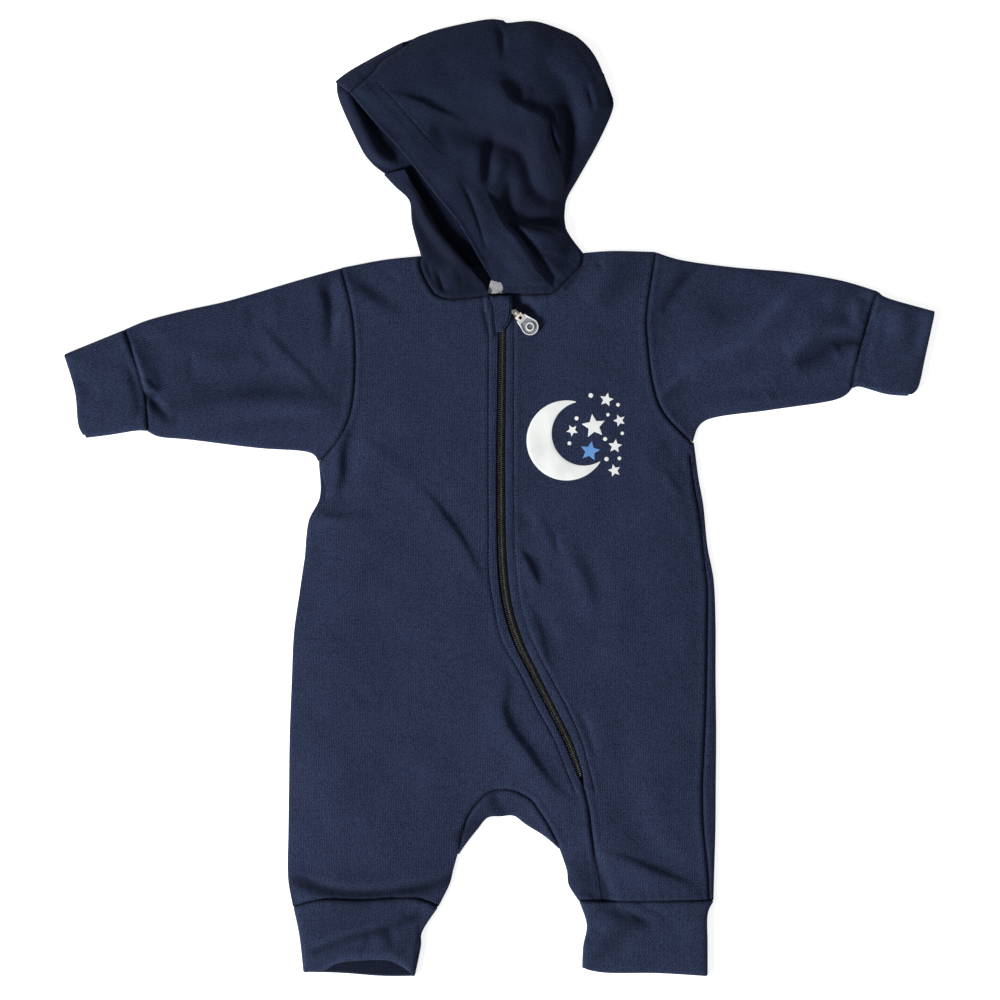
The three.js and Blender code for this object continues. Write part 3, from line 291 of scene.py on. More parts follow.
def levelRow(column):
    return [(row[column], row[0]) for row in trunkLevels]


def chords(lists, count=24):  # segments x1, y1, x2, y2 and how far along its line each starts
    rows = []
    for points in lists:
        line = smoothLine(points, count)
        run = np.cumsum(np.linalg.norm(np.diff(line, axis=0), axis=1))
        rows.append(np.column_stack([line[:-1], line[1:], np.concatenate([[0], run[:-1]])]))
    return np.concatenate(rows)


chunk = 3000  # places measured at a time


def nearestOn(lines, places):  # distance, side (left of the line is positive) and run along the line
    away = np.empty(len(places))
    side = np.empty(len(places))
    along = np.empty(len(places))
    start, step = lines[:, :2], lines[:, 2:4] - lines[:, :2]
    length2 = np.maximum((step**2).sum(1), 1e-9)
    for first in range(0, len(places), chunk):
        now = slice(first, first + chunk)
        p = places[now]
        dx = p[:, :1] - start[:, 0]
        dy = p[:, 1:] - start[:, 1]
        t = np.clip((dx * step[:, 0] + dy * step[:, 1]) / length2, 0, 1)
        ex, ey = dx - t * step[:, 0], dy - t * step[:, 1]
        d2 = ex * ex + ey * ey
        k = d2.argmin(1)
        r = np.arange(len(p))
        away[now] = np.sqrt(d2[r, k])
        side[now] = step[k, 0] * dy[r, k] - step[k, 1] * dx[r, k]
        along[now] = lines[k, 4] + t[r, k] * np.sqrt(length2[k])
    return away, side, along


def distanceTo(lines, places):
    return nearestOn(lines, places)[0]


outline = chords([
    shoulderRight, sleeveTopRight, cuffTopRight, cuffEndRight, cuffUnderRight, sleeveUnderRight,
    levelRow(2), legCuffSideRight, legCuffUnderHemRight, legCuffInnerRight, inseamRight, crotchRight,
    crotchLeft, inseamLeft, legCuffInnerLeft, legCuffHemLeft, legCuffSideLeft, levelRow(4),
    sleeveUnderLeft, cuffUnderLeft, cuffEndLeft, cuffTopLeft, sleeveTopLeft, shoulderLeft,
    hoodNapeLeft, hoodBackLeft, hoodTop, hoodCrownRight, hoodFaceRight, hoodNeckRight,
])
neckSeam = chords([neckRightSide, neckRightFront, neckLeft])
seams = chords([
    neckRightSide, neckRightFront, neckRightEnd, neckLeft, armholeRight, armholeLeft, cuffSeamRight,
    cuffSeamLeft, archRight, archLeft, hemSeamRight, hemSeamStrip, hemSeamLeft, legSeam, crownSeam,
    levelRow(3),
])

# Creases, listed one by one. Each row: the line it follows, its width to the left and to the right of
# that line, or one width for both, and its height, below zero for a trough.
bodyCreases = [
    ([(-100, 44), (-80, 29), (-64, 15), (-54, 8)], 5, 10, 0.9),  # the long one under the right chest
    ([(-60, 11), (-49, 1), (-39.5, -12), (-29.5, -25), (-22.5, -37), (-15, -54)], 2, 9, 1.65),
    ([(-22, -38), (-16, -50), (-11, -66)], 4, 6, 0.8),
    ([(-46, 10), (-34, -6), (-20, -24), (-12, -44)], 8, 7, -0.8),
    ([(-96, -22), (-80, -36), (-70, -54)], 10, 0.5),
    ([(-92, -38), (-100, -54), (-106, -70)], 5, 0.5),
    ([(-106, 48), (-111.5, 33), (-113, 14), (-118, 0)], 3, 5, 2.6),  # at the right armpit
    ([(-102, 44), (-104.5, 26), (-106, 10), (-112, -5)], 8, 6, -1.7),
    ([(-134, -12.5), (-120, -13.4), (-106, -13), (-92, -8)], 1.9, 6, 2),
    ([(-131, -7), (-126, -3), (-121, 4)], 1.7, -2),
    ([(-134, -20), (-124, -36), (-128, -60)], 6, -0.6),
    ([(10, -7), (18, -12), (27, -18)], 4.5, 5, -1.2),  # short ones beside the zip's bend
    ([(14, -35), (20.5, -47), (28, -63)], 1.9, 6, 2.3),
    ([(20, -32), (28, -44), (34, -60)], 4, 5, -0.9),
    ([(27, -10), (32, -22), (36.5, -34)], 3.5, 5, 1.1),
    ([(40, -22), (40.5, -31), (44, -40)], 2.4, -1.1),
    ([(45, -28), (53, -45), (60, -62), (66, -84)], 5, 7, 1.7),
    ([(60, -36), (67, -52), (74, -70)], 6, -0.9),
    ([(19, -72), (26, -90), (32, -110), (36, -120)], 2.8, 6, 1.5),
    ([(27, -74), (36, -92), (43, -114)], 5, 6, -1),
    ([(56, -148), (63, -163), (68, -182)], 3, -1.1),
    ([(88, -60), (84, -96), (96, -130)], 12, 0.9),
    ([(104, -52), (108, -84), (116, -112)], 12, -0.8),
    ([(-11.5, 144), (-10.4, 134), (-8.8, 124), (-7.6, 114)], 2, -2),  # beside the chin guard
    ([(9, 146), (13, 138.5), (19, 132.5), (26, 128)], 5.5, 4.5, -3.6),
    ([(-114, 156), (-97, 144), (-80, 132), (-64, 124)], 5, 9, 1.7),  # from the right shoulder
    ([(-105, 160), (-90, 148), (-74, 136)], 6, 7, -1.4),
    ([(-84, 164), (-76, 158), (-70, 150)], 4, -0.8),
    ([(96, 178), (84, 166), (72, 152), (62, 138)], 7, 9, 2.3),  # left shoulder
    ([(108, 174), (95, 159), (84, 146), (74, 134)], 8, 9, -1.8),
    ([(68, 172), (70, 166), (73, 160)], 2.4, -1.5),
    ([(100, 36), (106, 24), (112, 12)], 6, 7, 1.1),  # under the left arm
    ([(115, 22), (120, 12), (127, 2)], 2.2, 4, 1.2),
    ([(112, 48), (118, 38), (124, 26)], 4, -0.8),
    ([(126, 26), (131, 20), (137, 14)], 3, -1),
    ([(3, -116), (4.6, -132), (1.6, -146), (7, -161.5), (19, -177.5), (33, -197), (52, -213)], 2.5, 10, 2.7),
    ([(12, -132), (10, -146), (18, -160), (30, -176), (44, -194)], 5, -0.9),  # left of the zip's foot
    ([(-8, -110), (-6, -130), (-10, -150)], 8, 0.6),
    ([(-102, -132), (-95, -138), (-88, -144)], 4, -0.9),
    ([(-142, -149), (-132, -150), (-122, -148)], 4, -0.6),
    ([(-142, -255), (-130, -262), (-116, -266)], 8, -1.2),  # over the right leg cuff
    ([(-142, -257), (-128, -264), (-110, -268), (-84, -268.5), (-62, -264), (-34, -257)], 7, 3, 1.6),
    ([(-140, -264), (-126, -269.5), (-108, -273.5), (-84, -273.5), (-62, -270), (-34, -262)], 2.4, 8, -4),
    ([(-74, -277.5), (-62, -276.5), (-48, -272)], 2, 1.8),
    ([(68, -246), (88, -252.5), (108, -261.5), (126, -268), (142, -275)], 2.4, 9, 2.4),  # left leg
    ([(82, -206), (98, -232), (118, -252), (142, -266)], 10, 12, -1.9),
    ([(62, -214), (65.5, -234), (67, -250)], 2.2, -0.8),
    ([(65, -242), (69, -258), (74, -272), (82, -286)], 5, 7, -3),
    ([(56, -272), (64, -276), (72, -280)], 3, 4, -1.6),
    ([(104, -184), (108, -204), (116, -228)], 9, 1.1),
    ([(90, -150), (88, -172), (94, -194)], 10, -0.9),
    ([(-5, -208), (-2, -213), (4, -222)], 3.4, -4),  # gusset
    ([(-30, -238), (-21, -231), (-12, -226)], 3, -2.8),
    ([(24, -222), (27, -228), (30, -233)], 2.6, -1),
    ([(-84, -80), (-72, -108), (-70, -136)], 16, -0.7),
    ([(-52, -190), (-64, -214), (-72, -240)], 14, -0.6),
    ([(-110, -172), (-116, -206), (-110, -236)], 12, 0.6),
    ([(-60, 96), (-70, 70), (-66, 44)], 14, 0.6),
]
sleeveCreases = [
    ([(-121, 161), (-119.5, 148), (-117.5, 136), (-117, 120), (-118, 104)], 4, 4.5, -3.2),  # right sleeve
    ([(-132, 158), (-127, 144), (-123, 130)], 3.6, 7, 1.1),
    ([(-168, 122), (-158, 110), (-146, 97.5), (-134.5, 86), (-122, 70)], 2.4, 7, 1.5),
    ([(-178, 104), (-170, 98), (-162, 92)], 3, 5, 0.7),
    ([(-224, 57), (-202, 65), (-178, 69), (-146, 69), (-112, 66)], 5, 9, 1.8),
    ([(-216, 78), (-186, 81), (-150, 82), (-118, 80)], 9, 8, -1.3),
    ([(-208, 47), (-188, 52), (-162, 57), (-124, 57)], 5, 6, -1.6),
    ([(-204, 39), (-184, 40), (-160, 39)], 4, 1.1),
    ([(-256, 106), (-250, 92), (-246, 79)], 5, 2.4, 1.5),
    ([(-252, 75), (-246, 72.5), (-240, 68), (-234, 60), (-232, 54)], 2.6, 4.4, -3.4),
    ([(-249, 84), (-244, 78), (-238, 74.5)], 2, 4, 2),
    ([(-244, 110), (-228, 104), (-206, 98), (-180, 96), (-150, 99)], 9, 14, 1.5),
    ([(-240, 96), (-236, 86), (-230, 76)], 6, 5, -1.5),
    ([(-256, 116), (-246, 112), (-234, 109)], 5, -1.2),
    ([(-216, 104), (-214, 94), (-216, 82)], 4, -1),
    ([(-176, 140), (-172, 128), (-174, 116)], 4, -0.7),
    ([(-160, 146), (-157, 134), (-158, 120)], 4, 5, 0.7),
    ([(140, 169), (135, 159), (129, 150), (121, 140), (114, 130)], 4.5, 4, -3.2),  # left sleeve
    ([(131, 171), (124, 160), (116, 148)], 4, 6, 1.1),
    ([(109, 71), (122, 81.5), (134, 92.5), (145, 98)], 1.9, 2.6, 1.7),
    ([(126, 92), (152, 103), (174, 113), (186, 122), (200, 137), (219, 156)], 4, 7, 3.6),
    ([(150, 128), (170, 138), (186, 150)], 12, 9, -1.6),
    ([(168, 96), (190, 104), (206, 116), (216, 128)], 9, 8, -1.8),
    ([(116, 73), (126, 79), (136, 86)], 3, -1.3),
    ([(180, 106), (202, 113), (222, 120), (242, 126)], 7, 8, 1.4),
    ([(202, 100), (214, 110), (226, 118), (240, 120), (254, 118)], 8, 3, 3.8),
    ([(208, 94), (220, 103), (232, 110), (246, 112.5), (254, 113)], 4, 7, -4.2),
    ([(254, 140), (250.5, 130), (252, 120)], 5, 4, 2.8),
    ([(228, 136), (236, 142), (246, 150)], 7, 6, 1.6),
    ([(232, 110), (236, 104), (238, 98)], 2.4, 1.2),
    ([(120, 62), (140, 71), (162, 77), (184, 80)], 5, 6, -1.7),
    ([(134, 60), (164, 66), (200, 70), (232, 74)], 4, 1.2),
    ([(186, 76), (190, 70), (195, 66)], 2.4, 1),
    ([(226, 146), (236, 150), (244, 152)], 3, -0.8),
    ([(140, 130), (170, 134), (200, 128)], 12, -0.6),
]
cuffCreases = [
    ([(-260, 98), (-256, 86), (-252.5, 72), (-251, 58)], 3.6, -2),
    ([(-298, 80), (-290, 76), (-280, 73)], 4, 5, -1.1),
    ([(-262, 108), (-272, 98), (-284, 94)], 8, -0.5),
    ([(-268, 60), (-276, 64), (-288, 60)], 8, 0.6),
    ([(264, 130), (260.5, 119), (256.5, 105), (253, 92)], 4, 3.6, -2.3),
    ([(272, 132), (270, 120), (268, 108)], 4, -1.2),
    ([(284, 138), (282, 128), (278, 116)], 5, 1.2),
    ([(298, 128), (295, 114), (288, 100)], 5, -1.2),
    ([(256, 84), (260, 82), (266, 78)], 3, -1.1),
    ([(-132, -310), (-112, -304.5), (-94, -300), (-74, -294), (-54, -287)], 3, 5, 1.3),
    ([(-78, -298), (-76, -306), (-74, -316)], 4, -1.8),
    ([(-112, -296), (-98, -292), (-84, -286)], 6, -0.9),
    ([(-92, -298), (-90, -310), (-96, -320)], 4, -1),
    ([(-70, -288), (-58, -291), (-50, -288)], 5, -0.9),
    ([(72, -280), (84, -286), (96, -291.5), (110, -297)], 4, 5, -2.6),
    ([(96, -281), (104, -286), (118, -291)], 2.6, 3, -1.4),
    ([(88, -288), (95, -296), (104, -300)], 3, 5, 1.4),
    ([(62, -298), (68, -302), (76, -306)], 3, -1),
    ([(80, -322), (86, -316), (92, -308)], 4, 5, -0.9),
    ([(126, -286), (124, -300), (130, -322)], 8, -0.7),
    ([(72, -292), (70, -308), (74, -324)], 7, 0.6),
]
hoodCreases = [
    ([(-2, 341), (0.5, 328), (2.5, 316), (3, 308)], 3, 2.4, -2),  # down from the crown
    ([(-4.5, 299), (-2.5, 293), (1, 286), (6.5, 278.5), (13, 272.5)], 8, 13, 2.7),
    ([(6, 300), (9, 291), (13, 283), (18, 276)], 8, 5, -1.5),
    ([(26, 306), (40, 296), (48, 284), (51, 268), (51, 254), (49, 236)], 7, 10, -4.4),  # the hollow behind it
    ([(20, 332), (28, 318), (36, 312)], 12, 1.4),
    ([(42, 326), (59, 310), (69, 292), (70, 272), (62, 250)], 9, 8, 2.8),
    ([(61, 291), (64, 281), (66.5, 270)], 2, -1.4),
    ([(22, 288), (18, 279), (15, 272)], 3, 3.4, 1.8),
    ([(37, 276), (41, 265), (44, 253)], 2.6, 3, 2),
    (
        [(0, 291), (8, 278), (20, 271.2), (31, 266), (33.6, 257), (37.2, 244), (41, 230), (46.5, 210)],
        1.5, 13, 5.6,
    ),
    ([(45, 278), (48.5, 264), (49, 250), (48, 236), (48, 220)], 4, 3.6, -4),
    ([(34, 257), (37, 248), (40, 239)], 1.3, -2),
    ([(36.5, 263), (40.5, 252), (45.5, 240)], 1.6, 1.8, 3.6),
    ([(-80, 284), (-58, 277.4), (-43, 270.2), (-31, 265.6), (-20, 259)], 2.1, 9, 2.2),  # from the crown seam
    ([(-72, 290), (-50, 281), (-30, 272)], 6, 4, -0.9),
    ([(-48, 261), (-24, 257), (-8, 253), (5, 246), (18, 238)], 7, 9, -4.4),
    ([(-44, 264), (-40, 252), (-35, 242)], 5, -1.2),
    ([(-14, 250), (-13.5, 238), (-11.5, 226), (-5, 213)], 5, 9, 2),  # its hollow with the lit wedge
    ([(-2, 257), (-7, 243), (-8.5, 228), (-5.5, 215)], 5, 4, -4),
    ([(5, 237), (-1, 226), (-6, 215)], 3.4, 3.6, 2.2),
    ([(9, 224), (7, 213), (6, 204), (9, 196)], 5, 4, -4.2),
    ([(-2, 251), (15, 243.5), (20.5, 231), (24, 218), (37, 208)], 4.5, 6, -4),
    ([(22, 266), (27, 248), (31, 230), (38, 214)], 6, 5, 2.4),
    (
        [(-9.5, 214.5), (-2.4, 201), (3.6, 190.6), (14, 180), (21.5, 168), (25, 160.6), (38.5, 146)],
        1.5, 13, 5.4,
    ),
    ([(3, 204), (11, 189), (19, 179), (27, 168), (41, 151)], 3.4, -4.2),  # behind the hem's roll
    ([(8, 190.4), (16, 189.4), (27, 188), (40, 186), (50, 184.5)], 1.5, 14, 5),
    ([(6, 199), (14, 196.5), (26, 193.5), (46, 191)], 6, 3.4, -4.4),
    ([(20, 205), (32, 202), (44, 202)], 5, 1),
    ([(30, 172), (40, 168), (52, 170)], 5, -1.2),
    ([(34, 163), (44, 159), (54, 158)], 4, 5, 1.2),
    ([(12, 147.6), (24, 149.2), (37, 147)], 1.9, 1.7, -1.6),
    ([(12, 151), (24, 152.4), (34, 150.6)], 2, 3, 0.9),
    ([(-26.5, 222), (-21, 212), (-16, 199), (-10.8, 183), (-9, 173)], 2, -2),  # on the hem
    ([(-21, 222), (-15.5, 211), (-10, 198), (-4, 184)], 4, 5, 1.1),
    ([(-82, 259), (-72, 257), (-62, 256)], 5, 4, -1.2),
    ([(-24, 238), (-30, 226), (-36, 216)], 6, 0.8),
    ([(-50, 232), (-42, 240), (-32, 244)], 7, -0.8),
    ([(2, 172), (6, 163), (12, 155)], 4, -0.7),
    ([(-52, 308), (-36, 300), (-20, 296)], 12, -0.9),
]
flapCreases = [
    ([(-66, 222), (-57, 207), (-50, 194), (-40, 180), (-26, 165), (-12, 151)], 3.4, 5, 4),
    ([(-62, 200), (-50, 186), (-40, 174), (-32, 162)], 7, -3.4),
    ([(-50, 214), (-40, 204), (-28, 190)], 4, -1.2),
    ([(-44, 162), (-40.5, 152), (-38, 143)], 2.4, 2.6, -2.4),
    ([(-36, 168), (-32.5, 158), (-31, 147)], 3, 1.1),
    ([(-26, 166), (-20, 156), (-17, 146)], 3.4, -1.5),
    ([(-56, 168), (-52, 158), (-48, 150)], 2.6, 2.2, 1.3),
    ([(-52, 166), (-49, 156), (-45, 148)], 2.2, -2),
]
backCreases = [
    ([(-64, 124), (-30, 98), (12, 92), (56, 110)], 4, 14, 1.3),
    ([(-112, 44), (-86, 26), (-50, 20)], 3.6, 9, 1.5),
    ([(116, 46), (92, 26), (56, 16)], 9, 3.6, 1.5),
    ([(-44, -66), (-14, -94), (24, -108)], 4, 12, 1.2),
    ([(60, -40), (40, -62), (12, -74)], 8, 0.8),
    ([(-92, -146), (-62, -170), (-26, -186)], 4, 11, 1.4),
    ([(104, -146), (72, -174), (38, -190)], 11, 4, 1.4),
    ([(-132, -260), (-96, -270), (-56, -264)], 3, 7, 1.5),
    ([(74, -262), (104, -271), (138, -262)], 3, 7, 1.5),
    ([(-20, 40), (0, 10), (6, -24)], 14, 12, 0.7),
]


creaseForm = {"steps": 16, "reach": 2.6, "taper": 0.7}  # a crease fades towards its ends


def creaseHeight(rows, places):
    total = np.zeros(len(places))
    for points, left, *right, height in rows:
        right = right[0] if right else left
        line = chords([points], creaseForm["steps"])
        reach = creaseForm["reach"] * max(left, right)
        low, high = line[:, :2].min(0) - reach, line[:, :2].max(0) + reach
        inside = np.flatnonzero(((places > low) & (places < high)).all(1))
        if not len(inside):
            continue
        away, side, along = nearestOn(line, places[inside])
        length = line[-1, 4] + math.hypot(*(line[-1, 2:4] - line[-1, :2]))
        taper = np.sin(math.pi * np.clip(along / length, 0, 1)) ** creaseForm["taper"]
        width = np.where(side > 0, left, right)
        total[inside] += height * taper * np.exp(-((away / width) ** 2))
    return total


def waves(places, size, seed):  # broad unevenness, -1 to 1
    return np.array([noise.noise(Vector((x / size, y / size, seed))) for x, y in places])


unevenness = [(48, 0.9), (19, 0.42), (7, 0.11)]  # size and height, from broad to fine
seamForm = {
    "depth": 1.2, "width": 1.0,
    "welt": 0.45, "weltAt": 3, "weltWidth": 1.8,
    "pucker": 0.24, "pitch": 6.5, "puckerFrom": 1.2, "puckerTo": 5,
    "drifts": [(1.7, 19), (1.1, 7.3)],  # how far the puckers stray from their pitch, and over what run
}


def ridge(away, width):  # 1 on a line, falling away beside it
    return np.exp(-((away / width) ** 2))


def seamHeight(places, lines):
    if not len(lines):
        return np.zeros(len(places))
    away, _, along = nearestOn(lines, places)
    valley = -seamForm["depth"] * ridge(away, seamForm["width"])
    welt = seamForm["welt"] * ridge(away - seamForm["weltAt"], seamForm["weltWidth"])
    turn = along * 2 * math.pi / seamForm["pitch"]
    for stray, run in seamForm["drifts"]:
        turn = turn + stray * np.sin(along / run)
    beside = np.exp(-away / seamForm["puckerTo"]) - np.exp(-away / seamForm["puckerFrom"])
    return valley + welt + seamForm["pucker"] * np.sin(turn) * beside


def nearLines(lines, places, reach=12):
    low, high = places.min(0) - reach, places.max(0) + reach
    middle = (lines[:, :2] + lines[:, 2:4]) / 2
    return lines[((middle > low) & (middle < high)).all(1)]


def seamsUnder(places):
    return seamHeight(places, nearLines(seams, places))


def unevenHeight(places, seed=0.0):
    return sum(height * waves(places, size, seed + size) for size, height in unevenness)


edgeForm = {"round": 2.2, "dip": 0.3, "dipWidth": 1.4, "calm": 0.15, "calmReach": 16, "seamReach": 3}


def rising(away, reach):  # from 0 at the outline to 1, rounded like a pillow's edge
    return 1 - (1 - np.clip(away / reach, 0, 1)) ** edgeForm["round"]


def edgeDip(away):
    return edgeForm["dip"] * ridge(away, edgeForm["dipWidth"])


def lowLayer(layer):  # the upper layer's middle where it lies on the lower one
    return 1.5 * layer + cloth["gap"]


topStitch = {
    "depth": 0.45, "width": 0.55, "welt": 0.35, "weltAt": 2.6, "weltWidth": 1.6,
    "lowEnd": -206, "reach": 30, "none": 99,
}
stitchZipRight = [
    (-7, 141), (-7.2, 110), (-7.4, 70), (-7.5, 20), (-7.3, -20), (-7, -52), (-3.5, -75), (2, -99),
    (15, -122), (26, -145), (38.5, -168), (47.6, -191), (54, -206.5),
]
stitchZipLeft = [
    (10.4, 141), (10.5, 100), (10.3, 60), (10.4, 10), (10.8, -29), (12.4, -52), (15.4, -75), (23.4, -99),
    (34.8, -122), (47, -145), (57.4, -168), (63.7, -191), (67.2, -206.5),
]
zipStitches = chords([stitchZipRight, stitchZipLeft], 60)
calmSpot = {"middle": (14, 126), "reach": 22}  # the cloth lies even under the pull tab


def stitchGroove(places):
    near = nearLines(zipStitches, places, topStitch["reach"])
    stitch = distanceTo(near, places) if len(near) else topStitch["none"]
    groove = topStitch["depth"] * ridge(stitch, topStitch["width"])
    welt = topStitch["welt"] * ridge(stitch - topStitch["weltAt"], topStitch["weltWidth"])
    return groove, welt * (places[:, 1] > topStitch["lowEnd"])


def frontHeight(places):
    away = distanceTo(outline, places)
    low = lowLayer(wall)
    base = low + (cloth["frontRise"] - low) * rising(away, cloth["softEdge"])
    folds = creaseHeight(bodyCreases, places) + creaseHeight(sleeveCreases, places)
    inside = ease(away / edgeForm["calmReach"])
    calm = 1 - np.exp(-((places - calmSpot["middle"]) ** 2).sum(1) / calmSpot["reach"] ** 2)
    shape = (folds + unevenHeight(places)) * (edgeForm["calm"] + (1 - edgeForm["calm"]) * inside)
    height = base + np.where(shape > 0, shape * calm, shape)
    height += seamsUnder(places) * ease(away / edgeForm["seamReach"])
    groove, welt = stitchGroove(places)
    height -= groove
    height += welt
    return np.maximum(height - edgeDip(away), cloth["lowest"])


cuffShape = {"edge": 0.5, "uneven": 0.6, "seed": 5.0, "foldReach": 10, "lowest": -0.3}


def cuffHeight(places):
    away = distanceTo(outline, places)
    low = lowLayer(cloth["cuffWall"])
    base = low + (cloth["cuffRise"] - low) * rising(away, cloth["softEdge"] * cuffShape["edge"])
    shape = creaseHeight(cuffCreases, places) + cuffShape["uneven"] * unevenHeight(places, cuffShape["seed"])
    base += shape * ease(away / cuffShape["foldReach"])
    base += seamsUnder(places) * ease(away / edgeForm["seamReach"])
    return np.maximum(base - edgeDip(away), low + cuffShape["lowest"])


hoodShape = {"seed": 9.0, "unevenReach": 14, "foldReach": 11, "neckReach": 9, "seamReach": 4}
hoodHem = {
    "width": 15, "slope": 4, "raised": 0.5, "fadeFrom": 262, "fadeTo": 236, "edgeReach": 6,
    "stitchDepth": 0.5, "stitchWidth": 0.7, "lip": 0.9, "lipWidth": 2.2,
}
flapShape = {"foldReach": 9, "neckReach": 7, "highest": 10.5}
faceLine = chords([faceEdgeLeft], 48)
stitchHood = [(-86, 291.5), (-72, 277), (-56, 258.5), (-46, 247), (-38, 238.5)]
hoodStitches = chords([stitchHood], 48)
crownLine = chords([crownSeam])


def overNeck(places, rise, uneven=None):  # the front's height at the neck, the hood's own beyond it
    away, neck = distanceTo(outline, places), distanceTo(neckSeam, places)
    low = lowLayer(wall)
    own = low + (rise - low) * rising(away, cloth["hoodSoftEdge"])
    if uneven is not None:
        own = own + unevenHeight(places, uneven) * ease(away / hoodShape["unevenReach"])
    blend = ease(neck / cloth["neckBlend"])
    return frontHeight(places) * (1 - blend) + own * blend, away, neck, blend


def foldsOn(creases, shape, places, away, neck):
    return creaseHeight(creases, places) * ease(away / shape["foldReach"]) * ease(neck / shape["neckReach"])


def hoodHeight(places):
    height, away, neck, blend = overNeck(places, cloth["hoodRise"], hoodShape["seed"])
    height += foldsOn(hoodCreases, hoodShape, places, away, neck)
    face, stitch = distanceTo(faceLine, places), distanceTo(hoodStitches, places)
    upper = ease((places[:, 1] - hoodHem["fadeTo"]) / (hoodHem["fadeFrom"] - hoodHem["fadeTo"]))
    hem = hoodHem["raised"] * ease((hoodHem["width"] - face) / hoodHem["slope"])
    inside = ease(away / hoodHem["edgeReach"])
    height += hem * inside * blend * upper
    height -= hoodHem["stitchDepth"] * ridge(stitch, hoodHem["stitchWidth"]) * blend * upper
    height += hoodHem["lip"] * blend * ridge(face, hoodHem["lipWidth"]) * inside
    height += seamHeight(places, nearLines(crownLine, places)) * ease(away / hoodShape["seamReach"]) * blend
    return np.maximum(height, cloth["lowest"])


def flapHeight(places):
    height, away, neck, _ = overNeck(places, cloth["flapRise"])
    height += foldsOn(flapCreases, flapShape, places, away, neck)
    return np.clip(height, cloth["lowest"], flapShape["highest"])


backShape = {"foldReach": 20, "waves": 0.3, "waveSize": 40, "seed": 3.0, "highest": 1.5}


def backHeight(places):
    inside = ease(distanceTo(outline, places) / backShape["foldReach"])
    folds = creaseHeight(backCreases, places) * inside
    uneven = backShape["waves"] * waves(places, backShape["waveSize"], backShape["seed"]) * inside
    return wall / 2 + np.clip(folds + uneven, 0, backShape["highest"])


def lift(places, height):  # a grid of places raised to their heights
    flatPlaces = places.reshape(-1, 2)
    z = height(flatPlaces) if callable(height) else np.full(len(flatPlaces), float(height))
    return np.column_stack([flatPlaces, z]).reshape(places.shape[:-1] + (3,))


foldAngles = np.radians([-90, -50, -15, 15, 50, 90])


def foldAt(outer, inward, layer):  # from the lower layer round to the upper one
    radius = (layer + cloth["gap"]) / 2
    inset = layer / 2 + radius * (1 - np.cos(foldAngles))
    places = outer[..., None, :] + inward[..., None, :] * inset[:, None]
    z = layer / 2 + radius * (1 + np.sin(foldAngles))
    return np.concatenate([places, np.broadcast_to(z[:, None], places.shape[:-1] + (1,))], axis=-1)


def unit(vectors):
    return vectors / np.maximum(np.linalg.norm(vectors, axis=-1, keepdims=True), 1e-9)


def newPiece(name, points, faces):  # points in millimetres
    mesh = bpy.data.meshes.new(name)
    mesh.from_pydata((np.asarray(points) * mm).tolist(), [], faces)
    mesh.polygons.foreach_set("use_smooth", [True] * len(mesh.polygons))
    mesh.update()
    piece = bpy.data.objects.new(name, mesh)
    bpy.context.scene.collection.objects.link(piece)
    return piece


def setUv(piece, uvs, name="grain"):
    loops = np.empty(len(piece.data.loops), np.int32)
    piece.data.loops.foreach_get("vertex_index", loops)
    layer = piece.data.uv_layers.new(name=name)
    layer.data.foreach_set("uv", np.asarray(uvs, float)[loops].ravel())
